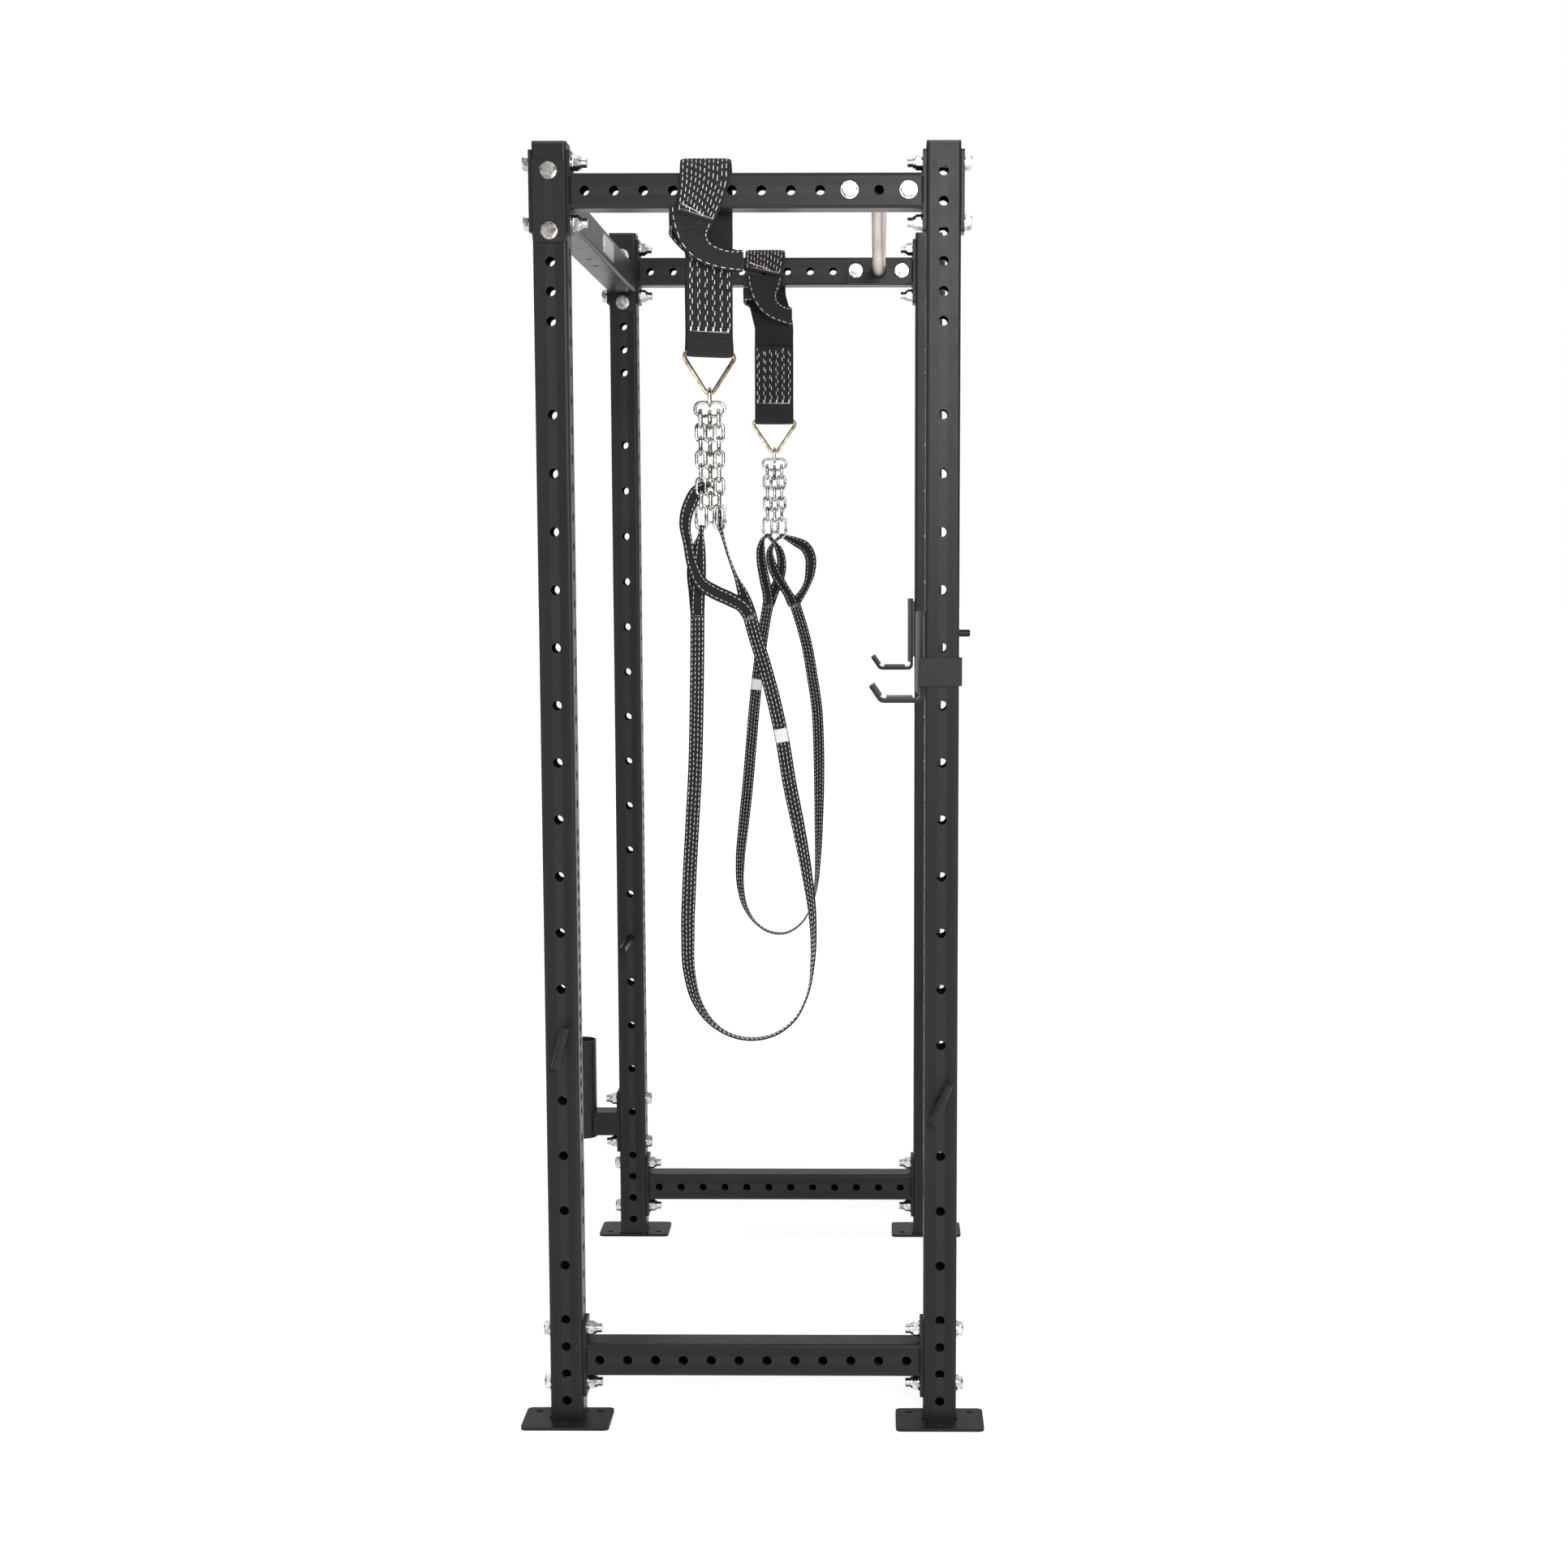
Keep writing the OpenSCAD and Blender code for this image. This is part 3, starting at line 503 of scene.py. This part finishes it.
def webbing_loop(side, route, tag_at):
    """A hanging loop with four rows of stitches on each face, two bar tacks and a blank tag."""
    rows = []
    for i, p in enumerate(route):
        a = math.radians(turn_at(i / (len(route) - 1)))
        rows.append([*(v / 1000 for v in p), math.cos(a), math.sin(a), 0, WEB])
    band = Band(rows, 0.0030, 0.004)
    obj = band.mesh(f"{side}_loop_strap", webbing, 10)
    margin = 0.004
    stitches = Threads()
    for face in (1, -1):
        for u in (-0.74, -0.26, 0.26, 0.74):
            stitches.row(band, u, margin, band.length - margin, 0.0055, 0.0032, 0.00045, face,
                         wander=0.02)
        for s0 in (0.002, band.length - 0.016):
            stitches.zigzag(band, s0, s0 + 0.012, -0.8, 0.8, 7, 0.0005, face)
            stitches.zigzag(band, s0 + 0.003, s0 + 0.007, -0.85, 0.85, 3, 0.0006, face)
    sewn = stitches.mesh(f"{side}_loop_stitches")
    # A small blank tag sewn on the strap's face
    tag_x, tag_z = tag_at
    at = int(np.argmin(np.abs(band.c[:, 2] - tag_z) + np.abs(band.c[:, 0] - tag_x)))
    half_tag = 0.012
    rows = []
    for k in range(7):
        f = k / 6 * 2 - 1
        p, n = band.at(band.s[at] + half_tag * f, 0.0)
        rows.append([*(p + n * (band.thick / 2 + 0.0008)), *band.side[at], WEB * 0.92])
    tag = Band(rows, 0.0007, 0.002).mesh(f"{side}_loop_tag", tag_cloth, 6)
    for o in (obj, sewn, tag):
        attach(o, f"{side}_loop")
    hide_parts(f"{side}_webbing_loop")


webbing_loop("right", right_route, (0.0655, 1.258))
webbing_loop("left", left_route, (-0.049, 1.282))


def eye(name, side, rows):
    """A band round a snap hook, with a row of stitches along each edge of both faces."""
    band = Band(placed(rows), 0.0026, 0.003)
    obj = band.mesh(name, webbing, 8)
    margin = 0.003
    stitches = Threads()
    for face in (1, -1):
        for u in (-0.62, 0.62):
            stitches.row(band, u, margin, band.length - margin, 0.0058, 0.0030, 0.00045, face,
                         wander=0.03)
    sewn = stitches.mesh(name + "_stitches")
    for o in (obj, sewn):
        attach(o, f"{side}_loop")
    return obj


X = (1, 0, 0)
# Each eye is one band that leaves its bar tack, passes over its hook and returns to the tack
right_rear = eye("right_eye_rear", "right", [
    (-92, -576.8, 1470, *X, 25), (-91, -578.5, 1500, *X, 25), (-88, -580, 1545, *X, 24),
    (-85.5, -580.5, 1590, *X, 17), (-84.2, -580, 1610, *X, 10), (-84, -577.6, 1624.6, *X, 8),
    (-84, -573.5, 1627.6, *X, 8), (-84, -569.4, 1624.6, *X, 8), (-86, -567, 1610, *X, 10),
    (-93, -566, 1588, *X, 18), (-99, -567, 1552, *X, 23), (-95, -569.5, 1508, *X, 25),
    (-92, -571.2, 1470, *X, 25)])
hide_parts("right_eye_loops")
eye("right_eye_front", "right", [
    (0, -576.8, 1470, 1, 0, 0.1, 25), (-12, -580, 1486, 0.6, -0.3, 0.75, 25),
    (-34, -585, 1499, 0.40, 0, 0.92, 25), (-60, -588, 1511, 0.40, 0.1, 0.92, 25),
    (-83, -588, 1526, 0.75, 0.25, 0.62, 24), (-98, -587, 1556, 0.92, 0.4, 0.1, 21),
    (-107, -585, 1596, 0.8, 0.6, -0.1, 20), (-112, -582, 1632, 0.85, 0.45, -0.25, 22),
    (-104, -578, 1664, 0.85, 0.3, -0.45, 24), (-88, -571, 1690, 0.8, 0.4, -0.5, 22),
    (-70, -562, 1697, 0.4, 0.8, -0.4, 16), (-57, -560, 1684, 0.1, 1, -0.1, 12),
    (-52, -566, 1650, 0.6, 0.8, 0, 9), (-52, -569.4, 1629, *X, 8), (-52, -573.5, 1632.6, *X, 8),
    (-51.6, -577.8, 1628, *X, 8), (-47, -582, 1612, 0.6, 0.8, 0, 9),
    (-38, -583, 1580, 0.2, 1, 0, 12), (-24, -581, 1540, 0.3, 0.95, 0, 18),
    (-9, -574, 1500, 0.85, 0.5, 0, 23), (0, -571.2, 1470, *X, 25)])
left_rear = eye("left_eye_rear", "left", [
    (-20, 563.2, 1464, *X, 25), (-22, 560, 1485, 0.97, 0.25, 0, 24),
    (-29, 558, 1520, 0.97, 0.25, 0, 23), (-36, 560, 1560, 0.95, 0.3, 0, 22),
    (-37, 563, 1590, 0.85, 0.5, 0.1, 20), (-31, 563, 1612, 0.7, 0.6, 0.3, 14),
    (-22.5, 562.4, 1619, *X, 8), (-22, 566.5, 1621.6, *X, 8), (-21.5, 570.6, 1619, *X, 8),
    (-12, 573, 1608, 0.7, 0.7, 0, 12), (3, 575, 1586, 0.8, 0.5, 0.2, 19),
    (9, 576, 1556, 0.9, 0.4, 0, 22), (3, 574, 1520, 0.9, 0.4, -0.1, 24),
    (-11, 570, 1488, 0.95, 0.3, 0, 25), (-20, 568.8, 1464, *X, 25)])
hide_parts("left_eye_loops")
eye("left_eye_front", "left", [
    (36, 563.2, 1464, *X, 25), (22, 560, 1490, 0.7, 0.6, 0.4, 24),
    (2, 556, 1522, 0.8, 0.3, 0.5, 24), (-12, 554, 1552, 0.9, 0.3, 0.2, 22),
    (-16, 556, 1584, 0.7, 0.7, 0, 18), (-4, 560, 1606, 0.6, 0.8, 0, 11),
    (9.6, 562.4, 1618.6, *X, 8), (10, 566.5, 1621.6, *X, 8), (10.4, 570.6, 1618.6, *X, 8),
    (24, 573, 1612, 0.7, 0.3, 0.65, 14), (44, 575, 1603, 0.6, 0.2, 0.78, 22),
    (63, 576, 1592, 0.7, 0.2, 0.7, 25), (74, 576, 1570, 0.95, 0.2, 0.2, 25),
    (74, 575, 1540, 1, 0.15, 0, 23), (66, 573, 1508, 0.9, 0.45, 0, 18),
    (51, 570, 1482, 0.9, 0.4, 0, 20), (36, 568.8, 1464, *X, 25)])


# ---------------------------------------------------------------- slings
SLING_STEP = 0.0006  # fine enough for the ribs


def sling(side, x, y, turn, shift, ring_z, rise, flap, lean, stitch_top, stitch_end, ear):
    """One folded, stitched strap: flap, turn over the rail, back, choke and tail round the ring.

    turn is the tail's, in degrees. shift and lean, in metres, set the flap off to one side. rise
    and flap are the heights over the rail's middle of the top and of the flap's end, in
    millimetres.
    """
    c, s = math.cos(math.radians(turn)), math.sin(math.radians(turn))
    ring = (ring_z - RAIL_Z) * 1000
    top_of_tail = (stitch_top - RAIL_Z) * 1000
    profile = [(-41.5, flap), (-41.5, flap + 10)]
    profile += [q for q in ((-40.5, -16), (-38.5, 2), (-37.5, 20)) if q[1] > flap + 15]
    profile += [(-34.5, 35), (-23, rise - 5.5), (0, rise), (23, rise - 5.5), (34.5, 35), (37.5, 20),
                (37, 0), (35.5, -28), (30, -50), (19, -72), (9, -92), (4, -112)]
    rows = []
    for py, pz in profile:
        f = min(1, max(0, (-pz - 45) / 70))
        a = math.radians(turn * f)
        slack = min(1, max(0, (24 - pz) / (24 - flap))) if py < 0 else 0
        aside = lean * slack**1.3
        rows.append([x - shift * (1 - f) - aside, y + py / 1000, RAIL_Z + pz / 1000,
                     math.cos(a), math.sin(a), 0, SLING_WEB - 1.15 * aside])
    down = [(3.6, -150), (3.4, ring + 60), (3.6, ring + 24), (5.6, ring + 8)]
    bend = 6.6
    curl = [(bend * math.cos(a), ring + bend * math.sin(a)) for a in (0.2, -0.6, -1.57, -2.5, -3.4)]
    back_up = [(-3.6, ring + 24), (-3.4, ring + 60), (-3.4, top_of_tail - 20), (-3.2, top_of_tail)]
    for off, pz in down + curl + back_up:
        rows.append([x - s * off / 1000, y + c * off / 1000, RAIL_Z + pz / 1000,
                     c, s, 0, SLING_WEB])
    band = Band(rows, SLING_THICK, SLING_STEP)
    strap = band.mesh(f"{side}_sling_strap", sling_web, 16, rib=0.0008)
    stitches = Threads()
    z = band.c[:, 2]
    first = 0.004
    top_s = float(band.s[int(np.argmax(z))])
    low_s = float(band.s[int(np.argmin(z))])
    # The doubled flap: closely sewn from its end over the top of the rail
    columns = 11
    for k in range(columns):
        u = -0.87 + 1.74 * k / (columns - 1)
        stitches.row(band, u, first, top_s + 0.035, 0.0080, 0.0052, 0.0006, -1,
                     wander=0.012, start=(k * 5 % 7) * 0.0018, lift=0.0007)
    stitches.zigzag(band, first + 0.001, first + 0.003, -0.90, 0.90, 1, 0.0007, -1, 0.0007)
    stitches.dash(band, first + 0.012, first + 0.004, -0.85, 0.30, 0.0006, -1, 0.0009)
    # Two edge rows down the back and the choke
    for u in (-0.84, 0.84):
        stitches.row(band, u, top_s + 0.04, low_s - 0.012, 0.0080, 0.0055, 0.0006, -1, lift=0.0005)
    # The sewn box on the tail: six pairs of rows, a bar across the end and short ties
    up = np.where(band.s > low_s)[0]
    s_low = float(np.interp(stitch_end, z[up], band.s[up]))
    s_high = float(np.interp(stitch_top - 0.004, z[up], band.s[up]))
    pairs = 6
    for k in range(pairs):
        for pair in (0, 1):
            u = -0.86 + 1.62 * k / (pairs - 1) + 0.085 * pair
            stitches.row(band, u, s_low, s_high, 0.0085, 0.0100, 0.00065, -1, wander=0.014,
                         start=pair * 0.009, lift=0.0007)
    stitches.zigzag(band, s_low - 0.001, s_low + 0.001, -0.88, 0.82, 1, 0.0008, -1, 0.0005)
    for k in range(pairs):
        across = 1.62 * k / (pairs - 1)
        stitches.dash(band, s_low, s_low + 0.009, -0.84 + across, -0.80 + across,
                      0.0007, -1, 0.0005)
    sewn = stitches.mesh(f"{side}_sling_stitches")
    # The eye band that chokes the tail and turns back in an ear
    choke = Band(placed(ear, x, y), 0.0034, SLING_STEP)
    loop = choke.mesh(f"{side}_sling_choke", sling_web, 14, rib=0.0006)
    edges = Threads()
    margin = 0.003
    for u in (-0.84, 0.84):
        for face in (-1, 1):
            edges.row(choke, u, margin, choke.length - margin, 0.0075, 0.0050, 0.0006, face,
                      lift=0.0004)
    hem = edges.mesh(f"{side}_sling_choke_stitches")
    for o in (strap, sewn, loop, hem):
        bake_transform(o)
    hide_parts(f"{side}_sling_wrap", f"{side}_sling_tail")


near_ear = [
    (-24, -33.5, 2172, 1, 0, 0.1, 84), (-25, -36, 2147, 1, 0, 0.12, 74),
    (-23, -38, 2121, 0.96, 0, 0.3, 54), (-12, -37, 2102, 0.75, 0, 0.65, 42),
    (8, -33, 2090, 0.4, 0, 0.92, 36), (30, -26, 2084, 0.12, 0, 0.99, 34),
    (47, -16, 2083, 0, 0.05, 1, 35), (56.5, -7, 2084, 0, 0.1, 1, 37), (58, 4, 2085, 0, 0, 1, 37),
    (56, 16, 2086, 0, 0, 1, 37), (47, 25.5, 2087, 0.1, 0, 1, 38), (28, 27, 2092, 0.25, 0, 0.97, 40),
    (4, 26.5, 2101, 0.38, 0, 0.92, 44), (-22, 28, 2115, 0.5, 0, 0.87, 46),
    (-44, 28, 2132, 0.5, 0, 0.87, 42), (-60, 18, 2146, 0.4, 0, 0.92, 36),
    (-66, 0, 2152, 0, 0.1, 1, 34), (-60, -20, 2154, 0, 0, 1, 32), (-42, -30, 2154, 0, 0, 1, 32)]
far_ear = [
    (-18, -33.5, 2190, 1, 0, 0.1, 84), (-19, -36, 2168, 1, 0, 0.12, 74),
    (-17, -38, 2144, 0.96, 0, 0.3, 56), (-8, -37, 2125, 0.75, 0, 0.65, 44),
    (6, -33, 2113, 0.4, 0, 0.92, 38), (20, -26, 2107, 0.12, 0, 0.99, 36),
    (31, -16, 2104, 0, 0.05, 1, 37), (37.5, -7, 2104, 0, 0.1, 1, 39), (38.5, 3, 2105, 0, 0, 1, 39),
    (36, 12, 2106, 0, 0, 1, 39), (27, 18, 2109, 0.15, 0, 0.99, 40), (9, 20, 2115, 0.3, 0, 0.95, 42),
    (-11, 25, 2124, 0.4, 0, 0.91, 44), (-30, 31, 2134, 0.45, 0, 0.89, 42),
    (-48, 34, 2145, 0.45, 0, 0.89, 38), (-62, 26, 2150, 0.2, 0, 0.98, 34),
    (-66, 6, 2152, 0, 0.1, 1, 33), (-62, -16, 2153, 0, 0, 1, 32), (-46, -30, 2153, 0, 0, 1, 32)]
sling("right", -0.068, -0.570, 25, 0.003, 1.928, 55, -47, 0.017, 2.100, 1.9629, near_ear)
sling("left", -0.006, 0.570, 0, 0.018, 1.875, 47, -4, 0.0045, 2.0381, 1.9126, far_ear)


# ---------------------------------------------------------------- welds
def weld(name, corners, radius, out):
    """A rippled bead laid along straight runs between corners; out points away from the joint."""
    sides = 8
    verts, faces = [], []
    out = Vector(out).normalized()
    for a, b in zip(corners[:-1], corners[1:]):
        a, b = Vector(a), Vector(b)
        n = max(6, int((b - a).length / 0.0012))
        t = (b - a).normalized()
        side = t.cross(out).normalized()
        base = len(verts)
        for i in range(n + 1):
            f = i / n
            scale = 0.82 + 0.18 * abs(math.sin(f * n * 0.55)) + rng.uniform(-0.03, 0.03)
            if i in (0, n):
                scale *= 0.55
            p = a + (b - a) * f
            for k in range(sides):
                ang = TAU * k / sides
                verts.append(p + radius * scale * (math.cos(ang) * side + math.sin(ang) * out))
        for i in range(n):
            for k in range(sides):
                m = (k + 1) % sides
                q = base + i * sides
                faces.append((q + k, q + m, q + sides + m, q + sides + k))
        faces.append(tuple(base + k for k in reversed(range(sides))))
        faces.append(tuple(base + n * sides + k for k in range(sides)))
    obj = make(name, verts, faces, paint)
    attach(obj, "frame")


def weld_square(name, centre, axis, half, radius, out):
    """Four beads round a square tube that stands across an axis, clear of its round corners."""
    x, y, z = (1, 0, 0), (0, 1, 0), (0, 0, 1)
    u, v = (Vector(d) for d in {"x": (y, z), "y": (x, z), "z": (x, y)}[axis])
    centre = Vector(centre)
    reach = half - 0.007
    signs = [(-1, -1), (1, -1), (1, 1), (-1, 1)]
    for k, ((a, b), (d, g)) in enumerate(zip(signs, signs[1:] + signs[:1])):
        middle = centre + (u * (a + d) / 2 + v * (b + g) / 2) * half
        run = (u * (d - a) / 2 + v * (g - b) / 2) * reach
        weld(f"{name}_{k}", [middle - run, middle + run], radius, out)


# The flanges are against the posts, and a bead stands half a millimetre off each
FLANGE_X, FLANGE_Y = POST_X - HALF - PLATE - 0.0005, POST_Y - HALF - PLATE - 0.0005
BEAD, FOOT_BEAD, HOLDER_BEAD = 0.0022, 0.0026, 0.0024
for sx in (-1, 1):
    for sy in (-1, 1):
        tag = f"{'front' if sx > 0 else 'rear'}_{'left' if sy > 0 else 'right'}"
        weld_square(f"foot_weld_{tag}", (sx * POST_X, sy * POST_Y, PLATE + 0.0005), "z",
                    HALF + 0.0005, FOOT_BEAD, (0, 0, 1))
        for z, label in ((RAIL_Z, "top"), (LOW_RAIL_Z, "bottom")):
            weld_square(f"rail_weld_{label}_{tag}", (sx * FLANGE_X, sy * POST_Y, z), "x",
                        HALF + 0.0002, BEAD, (-sx, 0, 0))
for sy in (-1, 1):
    tag = "left" if sy > 0 else "right"
    weld_square(f"crossbar_weld_{tag}", (-POST_X, sy * FLANGE_Y, CROSSBAR_Z), "y",
                HALF + 0.0002, BEAD, (0, -sy, 0))
    ring = [(PULL_UP_X + 0.0145 * math.cos(a), sy * FLANGE_Y, RAIL_Z + 0.0145 * math.sin(a))
            for a in (TAU * k / 20 for k in range(21))]
    weld(f"pull_up_weld_{tag}", ring, BEAD, (0, -sy, 0))
for k, z in enumerate((0.2400, 0.2920)):
    arm, tube = ((-0.3765, 0.023), (-0.4275, 0.018))
    for piece, (x, reach), side in (("arm", arm, -1), ("tube", tube, 1)):
        weld(f"holder_{piece}_weld_{k}", [(x, POST_Y - reach, z), (x, POST_Y + reach, z)],
             HOLDER_BEAD, (side, 0, 0))


# ---------------------------------------------------------------- threads on the bolt ends
def screw_ridges():
    """Ridges round the ends of the bolts that stand out of the nuts."""
    verts, faces = [], []
    out, count, seg = 0.009, 5, 20
    root, crest, flank = 0.0080, 0.0087, 0.0008

    def ridges(tip, axis):
        axis = Vector(axis)
        u = axis.orthogonal().normalized()
        v = axis.cross(u)
        base = len(verts)
        profile = []
        for i in range(count):
            f = out * (i + 0.3) / count
            profile += [(f - flank, root), (f, crest), (f + flank, root)]
        for f, r in profile:
            p = Vector(tip) - axis * f
            for k in range(seg):
                a = TAU * k / seg
                verts.append(p + r * (math.cos(a) * u + math.sin(a) * v))
        for i in range(len(profile) - 1):
            for k in range(seg):
                m = (k + 1) % seg
                q = base + i * seg
                faces.append((q + k, q + m, q + seg + m, q + seg + k))

    stack = WASHER + NUT + out
    tip_x, tip_y = POST_X - HALF - PLATE - stack, POST_Y - HALF - PLATE - stack
    for sx in (-1, 1):
        for sy in (-1, 1):
            for z in (RAIL_Z - PITCH, RAIL_Z + PITCH, LOW_RAIL_Z - PITCH, LOW_RAIL_Z + PITCH):
                ridges((sx * tip_x, sy * POST_Y, z), (-sx, 0, 0))
    for sy in (-1, 1):
        for z in (CROSSBAR_Z - PITCH, CROSSBAR_Z + PITCH):
            ridges((-POST_X, sy * tip_y, z), (0, -sy, 0))
        for x in (PULL_UP_X - PITCH, PULL_UP_X + PITCH):
            ridges((x, sy * tip_y, RAIL_Z), (0, -sy, 0))
    holder_z = 0.270
    for z in (holder_z - PITCH, holder_z + PITCH):
        ridges((-POST_X - HALF - PLATE - stack, POST_Y, z), (-1, 0, 0))
    obj = make("bolt_threads", verts, faces, zinc)
    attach(obj, "frame")


screw_ridges()


def rivets():
    """Two dome rivets that hold the blank nameplate."""
    verts, faces = [], []
    plate_y, spread, plate_x = 0.015, 0.073, -0.3085
    radius, dome, rings, seg = 0.0035, 0.0016, 4, 16
    for y in (plate_y - spread, plate_y + spread):
        base = len(verts)
        for i in range(rings + 1):
            rise = i / rings * math.pi / 2
            r = radius * math.cos(rise)
            x = plate_x + dome * math.sin(rise)
            for k in range(seg):
                a = TAU * k / seg
                verts.append((x, y + r * math.cos(a), CROSSBAR_Z + r * math.sin(a)))
        for i in range(rings):
            for k in range(seg):
                m = (k + 1) % seg
                q = base + i * seg
                faces.append((q + k, q + m, q + seg + m, q + seg + k))
    obj = make("nameplate_rivets", verts, faces, plate_aluminium)
    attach(obj, "frame")


rivets()

# ---------------------------------------------------------------- floor, world and lights
floor_mat = Mat("studio_floor", Roughness=0.6, Emission_Color=(1, 0.985, 0.985, 1))
# The floor brightens away from the object, so that it meets the backdrop without an edge
reach = floor_mat.node(
    "ShaderNodeVectorMath", {0: floor_mat.coords.outputs["Object"]}, operation="LENGTH")
glow = floor_mat.node("ShaderNodeMapRange", {
    "Value": reach.outputs["Value"],
    "From Min": 1.5, "From Max": 5.0, "To Min": 0.60, "To Max": 1.0})
floor_mat.link(glow.outputs[0], "Emission Strength")
floor_mat.link(floor_mat.ramp(floor_mat.noise(3, 2), [(0.3, 0.80), (0.7, 0.84)]), "Base Color")
bpy.ops.mesh.primitive_plane_add(size=120, location=(0, 0, 0))
floor = bpy.context.object
floor.name = "studio_floor"
floor.data.materials.append(floor_mat.m)

world = bpy.data.worlds.new("studio")
bpy.context.scene.world = world
world.use_nodes = True
wt = world.node_tree
background = wt.nodes["Background"]
rays = wt.nodes.new("ShaderNodeLightPath")
power = wt.nodes.new("ShaderNodeMapRange")
power.inputs["To Max"].default_value = 1.0
wt.links.new(rays.outputs["Is Camera Ray"], power.inputs["Value"])
# The backdrop behind the object is brighter than the rest of the room
direction = wt.nodes.new("ShaderNodeTexCoord")
split = wt.nodes.new("ShaderNodeSeparateXYZ")
backdrop = wt.nodes.new("ShaderNodeMapRange")
for end, value in (("From Min", 0.2), ("From Max", 0.9), ("To Min", 0.12), ("To Max", 0.75)):
    backdrop.inputs[end].default_value = value
wt.links.new(direction.outputs["Generated"], split.inputs[0])
wt.links.new(split.outputs[1], backdrop.inputs["Value"])
wt.links.new(backdrop.outputs[0], power.inputs["To Min"])
wt.links.new(power.outputs[0], background.inputs["Strength"])
background.inputs["Color"].default_value = (1, 1, 1, 1)


def area(name, place, aim, size, energy):
    """A rectangular light at place that faces aim."""
    data = bpy.data.lights.new(name, "AREA")
    data.shape = "RECTANGLE"
    data.size, data.size_y = size
    data.energy = energy
    o = bpy.data.objects.new(name, data)
    bpy.context.collection.objects.link(o)
    o.location = place
    o.rotation_euler = (Vector(aim) - Vector(place)).to_track_quat("-Z", "Y").to_euler()


area("key", (1.2, -5.0, 2.7), (0.1, -0.4, 1.6), (1.5, 1.5), 210)
area("top", (0.0, 0.0, 5.0), (0, 0, 0), (4.0, 4.0), 80)
area("left_fill", (-3.6, -2.2, 2.2), (0, 0, 1.3), (1.5, 2.5), 14)
bpy.context.scene.view_settings.view_transform = "Standard"
